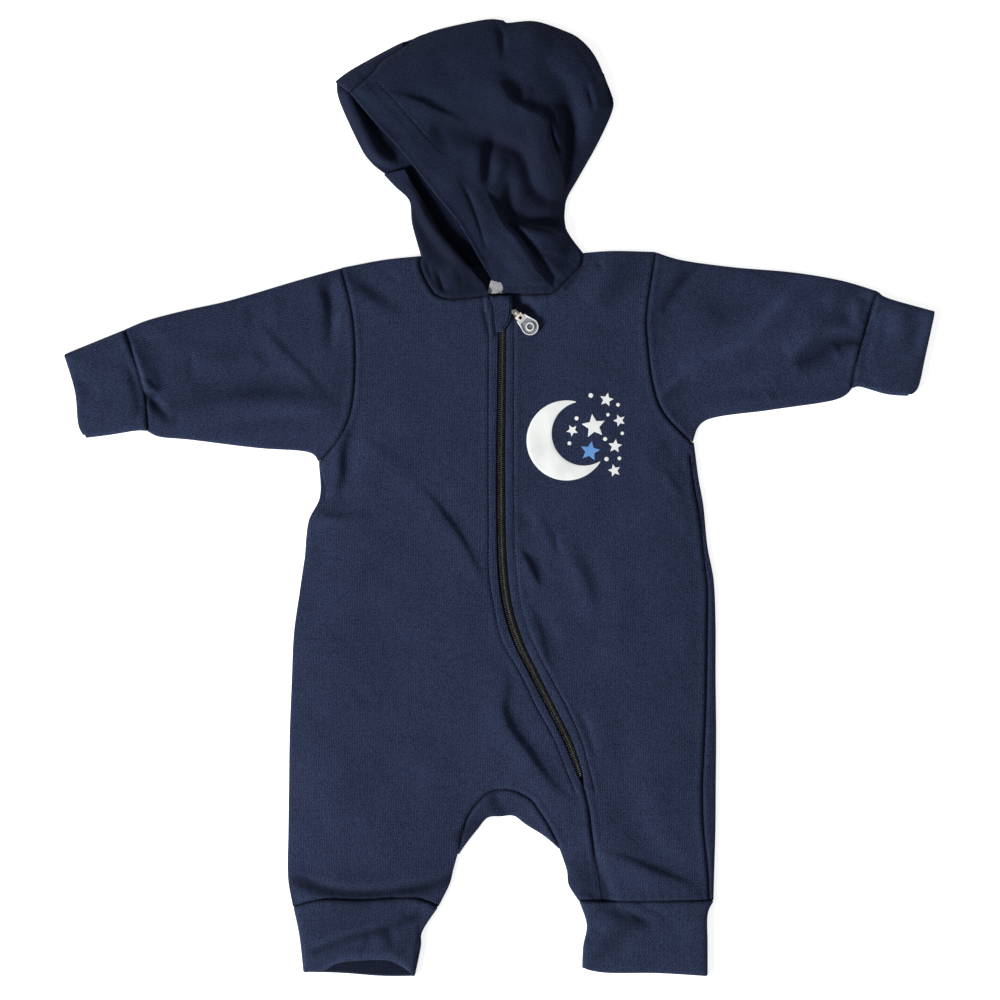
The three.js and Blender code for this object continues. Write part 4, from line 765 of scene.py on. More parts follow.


# Painted shade in the deep folds, by piece, that darkens the cloth's colour. Each row: the line it follows,
# its width and its depth, below zero for painted light where a fold is lit.
paintedCrotchShade = [
    ([(-5, -208), (-2, -213), (4, -222)], 4.4, 0.5),
    ([(-30, -238), (-21, -231), (-12, -226)], 4, 0.45),
]
paintedShadeAndLight = {
    "front_right": [
        (
            [(-142, -268), (-126, -273.5), (-108, -277), (-84, -277), (-64, -275), (-44, -270), (-34, -266)],
            4.4, 0.66,
        ),
        ([(-132, -262), (-110, -268), (-80, -268)], 5, 0.15),
        ([(-138, -277.5), (-126, -279)], 3, -0.3),
        ([(-6.5, 142), (-5, 132), (-4, 122), (-3, 115)], 1.8, 0.85),
        *paintedCrotchShade,
        ([(-106, 48), (-112, 30), (-113, 12)], 5, 0.25),
        ([(-132, -9), (-122, -8), (-112, -10)], 4, 0.3),
        ([(-104, 158), (-92, 150), (-80, 140)], 6, 0.25),
        ([(-56, 170), (-53, 156), (-46, 146)], 2.6, 0.65),
        ([(54, -256), (60, -268), (66, -278)], 5, 0.35),
    ],
    "front_left": [
        ([(10, 142), (12.5, 135), (18, 131)], 5.5, 0.75),
        ([(66, -258), (70, -270), (74, -280)], 5, 0.5),
        ([(60, 176), (56, 160), (46, 148)], 2.2, 0.6),
        ([(104, 168), (92, 154), (80, 142)], 9, 0.25),
    ],
    "gusset": paintedCrotchShade,
    "sleeve_right": [
        ([(-121, 160), (-119, 146), (-117, 132)], 4.4, 0.4),
        ([(-250, 74.5), (-243, 72)], 2, 0.8),
        ([(-244, 68), (-236, 60), (-231, 55)], 5, 0.45),
        ([(-228, 64), (-190, 73), (-150, 77), (-115, 74)], 11, 0.24),
        ([(-246, 100), (-236, 92), (-228, 88)], 7, 0.3),
        ([(-258, 108), (-252, 92), (-250, 82)], 2, -0.35),
    ],
    "sleeve_left": [
        ([(216, 95), (228, 104), (240, 111), (252, 112)], 6, 0.6),
        ([(243, 109.5), (254, 108.5)], 1.6, 0.85),
        ([(131, 98), (172, 113), (199, 136), (215, 154)], 7, -0.32),
        ([(148, 124), (172, 138), (184, 152)], 10, 0.16),
        ([(150, 100), (200, 120), (250, 132)], 45, -0.14),
        ([(262, 148), (257, 138), (253, 130)], 5, -0.6),
        ([(252, 124), (256, 116)], 2, -0.5),
        ([(141, 167), (136, 160), (128, 152)], 3, 0.45),
        ([(126, 150), (114, 134), (108, 112)], 9, 0.25),
        ([(113, 72), (125, 83), (137, 92)], 2.2, -0.4),
        ([(118, 70), (130, 80)], 4, 0.25),
    ],
    "cuff_right": [
        ([(-256, 84), (-253, 74), (-252, 62)], 3, 0.5),
        ([(-296, 81), (-286, 77)], 3, 0.3),
    ],
    "cuff_left": [
        ([(256, 118), (262, 112), (266, 100)], 5, 0.2),
        ([(262, 130), (292, 128)], 30, -0.26),
        ([(270, 145), (300, 138)], 5, -0.3),
        ([(301, 134), (295, 112), (288, 99)], 4, -0.35),
        ([(289, 128), (286, 112)], 4, 0.25),
    ],
    "leg_cuff_right": [
        ([(-130, -317), (-104, -307), (-82, -302), (-58, -292)], 3, 0.5),
        ([(-128, -313), (-104, -302.5), (-82, -297)], 2.6, -0.3),
        ([(-69, -315), (-76, -306), (-84, -302)], 6, 0.45),
        ([(-64, -318), (-70, -308), (-74, -298)], 2, -0.25),
        ([(-56.5, -298), (-58, -314), (-59, -328)], 1.5, 0.6),
        ([(-112, -283), (-92, -283), (-76, -282)], 6, 0.3),
        ([(-120, -302), (-70, -302)], 24, 0.14),
        ([(-122, -328), (-108, -322), (-90, -320), (-74, -321), (-64, -329)], 2, -0.6),
    ],
    "leg_cuff_left": [
        ([(70, -287), (82, -292), (96, -299)], 3.4, 0.45),
        ([(90, -298), (80, -308), (68, -320)], 6, 0.34),
        ([(50, -296), (57, -303), (62, -310)], 3.4, 0.45),
    ],
    "hood_right": [
        ([(-60, 222), (-50, 204), (-40, 189), (-27, 172), (-14, 156)], 5, 0.85),
        ([(-56, 200), (-46, 182), (-36, 164), (-24, 150)], 13, 0.5),
        ([(-106, 276), (-96, 254), (-84, 240)], 6, 0.3),
    ],
    "hood_left": [
        ([(0, 298), (4, 290), (10, 282)], 6, 0.25),
        ([(45, 278), (48, 264), (48.5, 250), (47, 234), (47, 220)], 3.6, 0.55),
        ([(28, 262), (20, 246), (34, 226)], 18, 0.38),
        ([(-6, 256), (-10, 240), (-10, 224)], 5, 0.25),
        ([(-28, 222), (-20, 206), (-8, 190), (6, 178), (20, 160), (34, 147)], 2.6, 0.35),
        ([(8, 192), (20, 189.5), (42, 187)], 2.4, 0.55),
        ([(4, 206), (22, 200), (42, 200)], 14, 0.38),
        ([(-40, 262), (-14, 256), (4, 244)], 9, 0.34),
        ([(36.5, 262), (40.5, 250), (45, 238)], 1.5, -0.9),
        ([(12, 272), (26, 268), (32, 264), (35, 252)], 5, -0.3),
        ([(-4, 330), (0, 318), (2, 306)], 3, 0.3),
        ([(-24, 222), (-18, 204), (-10, 186)], 5, 0.3),
        ([(-22, 214), (-16, 196), (-10, 180)], 1.6, -0.5),
        ([(8, 186), (20, 183), (40, 180)], 4, -0.3),
        ([(60, 268), (56, 246), (50, 232)], 6, -0.25),
    ],
}


# painted shade and light: the share of the cloth's colour kept at each point
def paintedShadeOn(name, places):
    share = np.ones(len(places))
    for points, width, depth in paintedShadeAndLight.get(name.replace("romper_", ""), []):
        away = nearestOn(chords([points], 12), places)[0]
        share *= 1 - depth * np.exp(-((away / width) ** 2))
    return share


shellForm = {
    "joined": 0.05, "inset": 0.6, "sharpest": 0.6, "rim": (50, 0, -50), "seamReach": 60, "seamMost": 20,
}


def joinGrids(grids):  # all grids' points and quads, a point that two grids share made one
    points, quads, border, start = [], [], [], 0
    for grid in grids:  # rows x columns x 3
        rows, columns = grid.shape[:2]
        ids = np.arange(rows * columns).reshape(rows, columns) + start
        points.append(grid.reshape(-1, 3))
        quads.append(np.stack([ids[:-1, :-1], ids[1:, :-1], ids[1:, 1:], ids[:-1, 1:]], -1).reshape(-1, 4))
        border.append(np.concatenate([ids[0], ids[-1], ids[1:-1, 0], ids[1:-1, -1]]))
        start += rows * columns
    points, quads, border = np.concatenate(points), np.concatenate(quads), np.concatenate(border)
    tree = KDTree(len(border))
    for i in border:
        tree.insert(points[i], int(i))
    tree.balance()
    same = np.arange(len(points))
    for i in border:
        same[i] = min(k for _, k, _ in tree.find_range(points[i], shellForm["joined"]))
    same = same[same]
    used, quads = np.unique(same[quads], return_inverse=True)
    return points[used], quads.reshape(-1, 4)


def facesOf(quads):  # a quad whose corners fell together becomes a triangle or goes
    faces = []
    for quad in quads.tolist():
        kept = [k for n, k in enumerate(quad) if k != quad[n - 1]]
        if len(set(kept)) >= 3 and len(kept) == len(set(kept)):
            faces.append(kept)
    return faces


def pointNormals(points, quads):
    across = np.cross(points[quads[:, 2]] - points[quads[:, 0]], points[quads[:, 3]] - points[quads[:, 1]])
    normals = np.zeros_like(points)
    for k in range(4):
        np.add.at(normals, quads[:, k], across)
    return unit(normals)


def rimOf(faces):  # the edges with a face on one side only
    directed = {}
    for face in faces:
        for n, k in enumerate(face):
            directed[face[n - 1], k] = True
    return [pair for pair in directed if pair[::-1] not in directed]


def outwardOn(rim, points, normals):  # by point, the ways out of the cloth at its rim
    outward = {}
    for a, b in rim:
        out = np.cross(points[b] - points[a], normals[a] + normals[b])
        out = out / max(np.linalg.norm(out), 1e-9)
        for k in (a, b):
            outward.setdefault(k, []).append(out)
    return outward


def clothShell(name, grids, layer, grain=0.0, innerShade=None):
    points, quads = joinGrids(grids)
    faces, normals = facesOf(quads), pointNormals(points, quads)
    rim = rimOf(faces)
    half, count = layer / 2, len(points)
    rimIds, ringPoints = {}, []
    for k, outs in outwardOn(rim, points, normals).items():
        mean = unit(np.sum(outs, axis=0))
        inset = half * shellForm["inset"]
        points[k] = points[k] - mean * inset / max(shellForm["sharpest"], float(mean @ outs[0]))
        rimIds[k] = 2 * count + len(ringPoints)
        for angle in shellForm["rim"]:
            turn = math.radians(angle)
            ringPoints.append(points[k] + half * (math.sin(turn) * normals[k] + math.cos(turn) * mean))
    rimPoints = np.array(ringPoints).reshape(-1, 3)
    allPoints = np.concatenate([points + normals * half, points - normals * half, rimPoints])
    allFaces = list(faces) + [[k + count for k in reversed(face)] for face in faces]
    for a, b in rim:
        first = [a, rimIds[a], rimIds[a] + 1, rimIds[a] + 2, a + count]
        second = [b, rimIds[b], rimIds[b] + 1, rimIds[b] + 2, b + count]
        for n in range(4):
            allFaces.append([second[n], first[n], first[n + 1], second[n + 1]])
    piece = newPiece(name, allPoints, allFaces)
    flat = allPoints[:, :2]
    cos, sin = math.cos(math.radians(grain)), math.sin(math.radians(grain))
    setUv(piece, flat @ np.array([[cos, -sin], [sin, cos]]) * mm)
    away = distanceTo(nearLines(seams, flat, shellForm["seamReach"]), flat)
    if innerShade is not None:  # painted shade on a tube's inner faces, told by their order
        away[count:2 * count] = np.minimum(away[count:2 * count], innerShade)
    # first value: the distance to a seam, turned into painted shade by the knit; second: painted shade and
    # light in the folds
    shade = np.column_stack([np.minimum(away, shellForm["seamMost"]) * mm, paintedShadeOn(name, flat)])
    setUv(piece, shade, "seamAndShade")
    return piece


seamSteps = (0, 1.3, 2.2, 3.2, 4.4)  # points this far in from a seam
zipSteps = (0, 1.2, 2.4, 3.6, 4.5, 5, 5.4, 5.8, 6.2, 6.7, 7.4, 8.4)
pitch = cloth["pitch"]


def countFor(length, near, far, step):
    return max(2, round((length - near[-1] - far[-1]) / step))


def shareAt(line, place):
    t = np.linspace(0, 1, 2001)
    return float(t[np.linalg.norm(line(t) - np.array(place), axis=1).argmin()])


pieces = {}  # by the node that each stands for


def clothPiece(node, *form, **more):
    pieces[node] = clothShell(f"romper_{node}", *form, **more)


def joinEdges(edges, knots):
    def place(t):
        t = np.asarray(t, float)
        found = edges[0](np.clip(t / knots[1], 0, 1))
        for i in range(1, len(edges)):
            local = np.clip((t - knots[i]) / (knots[i + 1] - knots[i]), 0, 1)
            found = np.where((t >= knots[i])[..., None], edges[i](local), found)
        return found
    return place


def columns(total, length, near=(0,), far=(0,)):
    return spread(length, total + 1 - len(near) - len(far), near, far)


def rows(length, step=pitch, near=(0,), far=(0,)):
    return spread(length, countFor(length, near, far, step), near, far)


def joinShares(first, second, at):  # two runs of shares that meet at one place
    return np.concatenate([first * at, (at + second * (1 - at))[1:]])


def between(a, b):
    return float(np.linalg.norm(np.asarray(a) - np.asarray(b)))


def shareAcross(place, start, end):  # how far a place lies on the way from start to end, read across
    return float((place[0] - start[0]) / (end[0] - start[0]))


def foldInset(layer):
    return layer / 2 + (layer + cloth["gap"]) / 2


def legInner(arch, inseam):
    return joinEdges([edge(arch), edge(inseam)], [0, 0.5, 1])


def liftedAll(height, *parts):  # each part: its plan, its columns at the top and the bottom, its rows
    return [lift(gridPlaces(*part), height) for part in parts]


fork = np.array(archRight[0], float)
neckSteps = (0, 1, 2)  # and from the neck's corner
bellyLength = armpitY - forkY


rightFront = {  # columns and lengths; the knee is where the neck's corner lies on the way to the armpit
    "knee": 0.2, "neckEnd": 0.86, "outerColumns": 84, "innerColumns": 43, "stripColumns": 41,
    "shoulder": 57, "neckSide": 28, "strip": 58, "legTop": 148, "hem": 101, "leg": 80, "pitch": 1.8,
}


def makeRightFront():
    form = rightFront
    armhole = edge(armholeRight)
    zipUpper = levelEdge(zipEdgeRight, neckY, armpitY)
    zipLower = levelEdge(zipEdgeRight, armpitY, forkY)
    side = moved(levelEdge(frontSide, armpitY, forkY), atStart=armhole(1))
    armpitRow = straightEdge(armhole(1), zipUpper(1))
    corner = np.array(neckRightSide[-1], float)
    split = shareAcross(corner, armhole(1), zipUpper(1))
    foot = armpitRow(split)
    inner = joinEdges([edge(neckRightSide), straightEdge(corner, foot)], [0, form["knee"], 1])
    outerChest = panelPlan(armhole, inner, edge(shoulderRight), partOf(armpitRow, 0, split))
    neckEdge = moved(edgeAlong([neckRightFront, neckRightEnd], [0, form["neckEnd"], 1]), atEnd=zipUpper(0))
    innerChest = panelPlan(straightEdge(corner, foot), zipUpper, neckEdge, partOf(armpitRow, split, 1))
    outerTop = columns(form["outerColumns"], form["shoulder"], seamSteps, seamSteps)
    outerLow = columns(form["outerColumns"], between(armhole(1), foot), seamSteps)
    innerUs = columns(form["innerColumns"], between(foot, zipUpper(1)), (0,), zipSteps)
    lowerVs = rows(between(corner, foot), pitch, seamSteps)
    chestVs = joinShares(rows(form["neckSide"], pitch, seamSteps, neckSteps), lowerVs, form["knee"])
    chestUs = joinShares(outerLow, innerUs, split)
    stripUs = columns(form["stripColumns"], form["strip"], seamSteps, zipSteps)
    legUs = columns(len(chestUs) + 1 - len(stripUs), form["legTop"], seamSteps, seamSteps)
    forkUs = joinShares(legUs, stripUs, shareAcross(fork, side(1), zipLower(1)))
    belly = panelPlan(side, zipLower, armpitRow, straightEdge(side(1), zipLower(1)))
    hem = edge(hemSeamRight)
    legSide = moved(levelEdge(frontSide, forkY, hemY), atEnd=hem(0))
    leg = panelPlan(legSide, legInner(archRight, inseamRight), straightEdge(side(1), fork), hem)
    stripTop, stripHem = straightEdge(fork, zipLower(1)), edge(hemSeamStrip)
    strip = panelPlan(legInner(archLeft, inseamLeft), edge(legSeam), stripTop, stripHem)
    legVs = rows(form["leg"], form["pitch"], (0,), seamSteps)
    grids = liftedAll(
        frontHeight,
        (outerChest, outerTop, outerLow, chestVs),
        (innerChest, innerUs, innerUs, lowerVs),
        (belly, chestUs, forkUs, rows(bellyLength, form["pitch"])),
        (leg, legUs, columns(len(legUs), form["hem"], seamSteps, seamSteps), legVs),
        (strip, stripUs, np.linspace(0, 1, len(stripUs)), legVs),
    )
    clothPiece("front_right", grids, wall)


leftFront = {
    "knee": 0.24, "neckCorner": (39.2, 145), "outerColumns": 66, "innerColumns": 38,
    "shoulder": 51, "neckSide": 35, "fork": 83, "hem": 75, "leg": 79, "pitch": 1.7,
}


def makeLeftFront():
    form = leftFront
    zipUpper = levelEdge(zipEdgeLeft, neckY, armpitY)
    zipLower = levelEdge(zipEdgeLeft, armpitY, forkY)
    seamTop = np.array([float(sideSeam(armpitY)), armholeLeft[-1][1]])
    armhole = moved(edge(armholeLeft), atEnd=seamTop)
    armpitRow = straightEdge(zipUpper(1), seamTop)
    neck = edge(neckLeft)
    turn = shareAt(neck, form["neckCorner"])
    corner = neck(turn)
    split = shareAcross(corner, zipUpper(1), seamTop)
    foot = armpitRow(split)
    inner = joinEdges([partOf(neck, 1, turn), straightEdge(corner, foot)], [0, form["knee"], 1])
    outerChest = panelPlan(inner, armhole, edge(shoulderLeft), partOf(armpitRow, split, 1))
    neckEdge = moved(partOf(neck, 0, turn), atStart=zipUpper(0))
    innerChest = panelPlan(zipUpper, straightEdge(corner, foot), neckEdge, partOf(armpitRow, 0, split))
    innerUs = columns(form["innerColumns"], between(foot, zipUpper(1)), zipSteps)
    outerTop = columns(form["outerColumns"], form["shoulder"], seamSteps, seamSteps)
    outerLow = columns(form["outerColumns"], between(foot, seamTop), (0,), seamSteps)
    lowerVs = rows(between(corner, foot), pitch, seamSteps)
    chestVs = joinShares(rows(form["neckSide"], pitch, seamSteps, neckSteps), lowerVs, form["knee"])
    chestUs = joinShares(innerUs, outerLow, split)
    side = moved(levelEdge(sideSeam, armpitY, forkY), atStart=seamTop)
    forkRow = straightEdge(zipLower(1), side(1))
    belly = panelPlan(zipLower, side, armpitRow, forkRow)
    legSide = levelEdge(sideSeam, forkY, hemY)
    leg = panelPlan(edge(legSeam), legSide, forkRow, moved(edge(hemSeamLeft), atEnd=legSide(1)))
    forkUs = columns(len(chestUs), form["fork"], zipSteps, seamSteps)
    hemUs = columns(len(chestUs), form["hem"], seamSteps, seamSteps)
    grids = liftedAll(
        frontHeight,
        (outerChest, outerTop, outerLow, chestVs),
        (innerChest, innerUs, innerUs, lowerVs),
        (belly, chestUs, forkUs, rows(bellyLength, form["pitch"])),
        (leg, forkUs, hemUs, rows(form["leg"], form["pitch"], (0,), seamSteps)),
    )
    clothPiece("front_left", grids, wall)


backForm = {  # the neck's start and end on the top edge, then columns and lengths
    "neckFrom": 0.25, "neckTo": 0.7, "legColumns": 62, "rightLeg": 148, "leftLeg": 149,
    "chest": 140, "leg": 80, "pitch": 2.4, "wrap": [0.18, 0.4, 0.6, 0.8, 1],
}


def sideWrap(fold, seam, vs):  # the back's cloth folded round the left side to the seam on the front
    outer, inner = fold(vs), seam(vs)
    turn = foldAt(outer, np.broadcast_to([-1.0, 0.0], outer.shape), wall)
    shares = np.array(backForm["wrap"])[:, None]
    flatPart = turn[:, -1:, :2] * (1 - shares) + inner[:, None, :] * shares
    return np.concatenate([turn, lift(flatPart, frontHeight)], axis=1)


def makeBack():
    form = backForm
    rightHole, leftHole = edge(armholeRight), edge(armholeLeft)
    rightSide = moved(levelEdge(backSide, armpitY, forkY), atStart=rightHole(1))
    inset = np.array([foldInset(wall), 0])
    fold = moved(levelEdge(sideFold, armpitY, forkY), atStart=leftHole(1) + inset)
    seamTop = np.array([float(sideSeam(armpitY)), armholeLeft[-1][1]])
    seam = moved(levelEdge(sideSeam, armpitY, forkY), atStart=seamTop)
    foldLow = levelEdge(sideFold, forkY, hemY)

    def leftSide(t):
        return fold(t) - inset

    def leftLow(t):
        return foldLow(t) - inset
    neck = [0, form["neckFrom"], form["neckTo"], 1]
    top = edgeAlong([shoulderRight, neckBack, shoulderLeft], neck)
    armpitRow = straightEdge(rightHole(1), leftSide(0))
    rightUs = columns(form["legColumns"], form["rightLeg"], seamSteps, seamSteps)
    leftUs = columns(form["legColumns"], form["leftLeg"], seamSteps, seamSteps)
    lowerUs = joinShares(rightUs, leftUs, shareAcross(fork, rightSide(1), leftSide(1)))
    chest = panelPlan(rightHole, leftHole, top, armpitRow)
    seat = panelPlan(rightSide, leftSide, armpitRow, straightEdge(rightSide(1), leftSide(1)))
    rightHem = straightEdge(hemSeamRight[0], hemSeamRight[-1])
    rightLow = moved(levelEdge(backSide, forkY, hemY), atEnd=rightHem(0))
    rightInner, rightTop = legInner(archRight, inseamRight), straightEdge(rightSide(1), fork)
    rightLeg = panelPlan(rightLow, rightInner, rightTop, rightHem)
    leftHem = moved(straightEdge(hemSeamStrip[0], hemSeamLeft[-1]), atEnd=leftLow(1))
    leftInner, leftTop = legInner(archLeft, inseamLeft), straightEdge(fork, leftSide(1))
    leftLeg = panelPlan(leftInner, leftLow, leftTop, leftHem)
    chestVs = rows(form["chest"], form["pitch"], seamSteps)
    seatVs = rows(bellyLength, form["pitch"])
    legVs = rows(form["leg"], form["pitch"], (0,), seamSteps)
    root = np.sqrt(chestVs)[:, None]
    chestUs = np.linspace(0, 1, len(lowerUs)) * (1 - root) + lowerUs * root
    grids = [
        lift(chest(chestUs, chestVs[:, None] + np.zeros(len(lowerUs))), backHeight),
        *liftedAll(
            backHeight,
            (seat, lowerUs, lowerUs, seatVs),
            (rightLeg, rightUs, rightUs, legVs),
            (leftLeg, leftUs, leftUs, legVs),
        ),
        sideWrap(fold, seam, seatVs),
        sideWrap(foldLow, levelEdge(sideSeam, forkY, hemY), legVs),
    ]
    clothPiece("back", grids, wall)


gusset = {"columns": 34, "shares": [0, 0.1, 0.22, 0.38, 0.55, 0.72, 0.88]}


def makeGusset():
    right = np.linspace(1, 0, gusset["columns"])
    left = np.linspace(0, 1, gusset["columns"])[1:]
    seam = np.concatenate([edge(archRight)(right), edge(archLeft)(left)])
    crotch = np.concatenate([edge(crotchRight)(right), edge(crotchLeft)(left)])
    inward = unit(seam - crotch)
    turn = foldAt(crotch, inward, wall)
    shares = np.array(gusset["shares"])[:, None]
    inner = crotch + inward * foldInset(wall)
    flatPart = seam[:, None, :] * (1 - shares) + inner[:, None, :] * shares
    lower, upper = lift(flatPart, wall / 2), lift(flatPart, frontHeight)
    grid = np.concatenate([lower, turn, upper[:, ::-1]], axis=1)
    clothPiece("gusset", [grid], wall)


tubeMargin = 1.3  # how far past the fold's own width a tube's flat part starts
cuffSteps = (0, 2, 3, 4.2)
hemSteps = (0, 2, 3)
sleeveForm = {"length": 165, "pitch": 1.6, "counts": (72, 44)}  # counts: across the upper and the lower layer
cuffForm = {"length": 44, "pitch": 1.5, "counts": (44, 30)}
legCuff = {"length": 48, "pitch": 1.5, "counts": (60, 40), "innerShade": 0.34}


def flatTube(upper, lower, counts, along, layer, height):  # plans take along and across
    t = np.array(along)
    start, end = upper(t, np.zeros(len(t))), upper(t, np.ones(len(t)))
    width = np.linalg.norm(end - start, axis=1)
    inward = (end - start) / width[:, None]
    margin = (tubeMargin * foldInset(layer) / width)[:, None]
    strips = []
    for plan, count in ((upper, counts[0]), (lower, counts[1])):
        s = np.linspace(0, 1, count)
        across = margin * (1 - s) + (1 - margin) * s
        strips.append(plan(t[:, None] + 0 * across, across))
    near, far = foldAt(start, inward, layer), foldAt(end, -inward, layer)
    return np.concatenate([
        near, lift(strips[0], height), far[:, ::-1], lift(strips[1][:, ::-1], layer / 2), near[:, :1],
    ], axis=1)


def makeTube(node, edges, form, steps, layer, height, grain):
    plan = panelPlan(*[edge(line) for line in edges])
    along = rows(form["length"], form["pitch"], *steps)
    grid = flatTube(plan, plan, form["counts"], along, layer, height)
    clothPiece(node, [grid], layer, grain)


def makeSleeve(side, *edges, grain):
    makeTube(f"sleeve_{side}", edges, sleeveForm, (seamSteps, seamSteps), wall, frontHeight, grain)


def makeCuff(side, *edges, grain):
    makeTube(f"cuff_{side}", edges, cuffForm, (cuffSteps, hemSteps), cloth["cuffWall"], cuffHeight, grain)


def makeLegCuff(side, seam, near, far, upperHem, underHem):
    below = np.array([0, cloth["gap"] / 2])
    edges = edge(near), edge(far)

    def layer(top, hem):
        plan = panelPlan(*edges, lambda t: top(t) - below, edge(hem))
        return lambda along, across: plan(across, along)
    upper = layer(seam, upperHem)
    lower = layer(straightEdge(seam(0), seam(1)), underHem)
    along = rows(legCuff["length"], legCuff["pitch"], cuffSteps, hemSteps)
    cuffWall = cloth["cuffWall"]
    grid = flatTube(upper, lower, legCuff["counts"], along, cuffWall, cuffHeight)
    clothPiece(f"leg_cuff_{side}", [grid], cuffWall, innerShade=legCuff["innerShade"])


faceRoll = {  # the opening's edge stands up
    "height": 6.5, "from": 7, "to": 15, "slope": 9, "low": 231, "lowSlope": 9, "high": 291, "highSlope": 10,
    "rightOf": -62,
}
lowerWaves = {"height": 0.5, "size": 30, "seed": 12.0, "reach": 18}
rightHood = {  # shares of the left edge, rows and columns, and how far the sheet draws in beside a fold
    "crownFrom": 0.2, "crownTo": 0.4, "flapFrom": 0.68, "nape": 0.45, "grain": 40,
    "topRows": 26, "crownRows": 34, "faceRows": 30, "columns": 64,
    "crownShares": [0, 0.12, 0.3, 0.5, 0.7, 0.86], "crownFade": 0.05, "faceFade": 0.03, "flapFade": 0.04,
}
flapForm = {
    "foldEnd": 0.72, "rows": 44, "lastRows": [0.0, 0.5, 1], "last": 0.97, "columns": 37, "turnTo": 0.25,
    "neckLength": 28, "neckPitch": 1.4,
}


def lowerHood(places):
    away = distanceTo(outline, places)
    slope = ease((faceRoll["to"] - away) / faceRoll["slope"])
    roll = faceRoll["height"] * ease(away / faceRoll["from"]) * slope
    above = ease((places[:, 1] - faceRoll["low"]) / faceRoll["lowSlope"])
    below = ease((faceRoll["high"] - places[:, 1]) / faceRoll["highSlope"])
    opening = above * below * (places[:, 0] < faceRoll["rightOf"])
    uneven = np.clip(waves(places, lowerWaves["size"], lowerWaves["seed"]), 0, 1)
    return wall / 2 + lowerWaves["height"] * uneven * ease(away / lowerWaves["reach"]) + roll * opening


def crownRows(left, vs):  # the crown's cloth folded over the sheet, as far as the crown seam
    target = edge(crownSeam)(1 - np.linspace(0, 1, len(vs)))
    outer = left(vs)
    fold = foldAt(outer, unit(target - outer), wall)[:, ::-1]
    shares = np.array(rightHood["crownShares"])[:, None]
    flat = target[:, None, :] * (1 - shares) + fold[:, :1, :2] * shares
    return fold, np.concatenate([lift(flat, hoodHeight), fold], axis=1)


def flapRows(left, sheet, vs, flapFrom):  # the flap over the neck's right side, and its part below the fold
    foldEnd = flapForm["foldEnd"]
    side = edgeAlong([hoodNeckRight, neckRightSide], [0, foldEnd, 1])
    flap = panelPlan(side, edge(flapEdge), edge(flapTop), edge(neckRightFront))
    us = np.linspace(1, 0, flapForm["columns"])[:-1]
    t = (vs - flapFrom) / (1 - flapFrom) * foldEnd
    outer = left(vs)
    margin = foldInset(wall) / np.linalg.norm(flap(np.ones(len(t)), t) - outer, axis=1)[:, None]
    places = flap(margin + (1 - margin) * us, t[:, None] + 0 * us)
    inward = unit(sheet(np.full(len(vs), flapForm["turnTo"]), vs) - outer)
    fold = foldAt(outer, inward, wall)[:, ::-1]
    upper = np.concatenate([lift(places, flapHeight), fold], axis=1)
    neckTs = rows(flapForm["neckLength"], flapForm["neckPitch"], (0,), seamSteps)[1:]
    sideTs = foldEnd + (1 - foldEnd) * neckTs
    sideUs = np.append(us, 0)
    sidePlaces = flap(sideUs + 0 * sideTs[:, None], sideTs[:, None] + 0 * sideUs)
    return fold, upper, np.concatenate([upper[-1:, :len(sideUs)], lift(sidePlaces, flapHeight)])


def makeRightHood():
    form = rightHood
    crownFrom, crownTo, flapFrom = form["crownFrom"], form["crownTo"], form["flapFrom"]
    left = edgeAlong([hoodCrownRight, hoodFaceRight, hoodNeckRight], [0, crownTo, flapFrom, 1])
    right = edgeAlong([hoodBackLeft, hoodNapeLeft], [0, form["nape"], 1])
    sheet = panelPlan(left, right, edge(hoodTop), edge(neckBack))
    crownVs = np.linspace(crownFrom, crownTo, form["crownRows"])
    evenVs, lastVs = np.linspace(0, 1, flapForm["rows"]), np.array(flapForm["lastRows"])
    flapVs = joinShares(evenVs, lastVs, flapForm["last"]) * (1 - flapFrom) + flapFrom
    crownFold, crown = crownRows(left, crownVs)
    flapFold, flap, neckPart = flapRows(left, sheet, flapVs, flapFrom)
    topVs = np.linspace(0, crownFrom, form["topRows"])[:-1]
    faceVs = np.linspace(crownTo, flapFrom, form["faceRows"])[1:-1]
    vs = np.concatenate([topVs, crownVs, faceVs, flapVs])
    us = np.linspace(0, 1, form["columns"])
    lower = lift(sheet(us + 0 * vs[:, None], vs[:, None] + 0 * us), lowerHood)
    crownShift = crownFold[:, -1] - np.column_stack([left(crownVs), np.full(len(crownVs), wall / 2)])
    flapShift = flapFold[:, -1] - np.column_stack([left(flapVs), np.full(len(flapVs), wall / 2)])
    for i, v in enumerate(vs):  # the sheet draws in towards each fold
        if v < crownFrom:
            lower[i, 0] += crownShift[0] * ease(1 - (crownFrom - v) / form["crownFade"])
        elif v <= crownTo:
            lower[i, 0] = crownFold[i - len(topVs), -1]
        elif v < flapFrom:
            belowCrown = crownShift[-1] * ease(1 - (v - crownTo) / form["faceFade"])
            lower[i, 0] += belowCrown + flapShift[0] * ease(1 - (flapFrom - v) / form["flapFade"])
        else:
            lower[i, 0] = flapFold[i - len(vs) + len(flapVs), -1]
    grids = [lower, crown, flap, neckPart]
    clothPiece("hood_right", grids, wall, form["grain"])


leftHood = {  # shares of the edges, lengths and pitches
    "faceEnd": 0.92, "crownEnd": 0.25, "neckStart": 0.05, "neckColumns": 7, "grain": -38,
    "crown": 50, "crownPitch": 1.2, "back": 205, "backPitch": 1.1, "backSteps": (0, 1.3, 2.2),
    "height": 185, "heightPitch": 1.05,
}


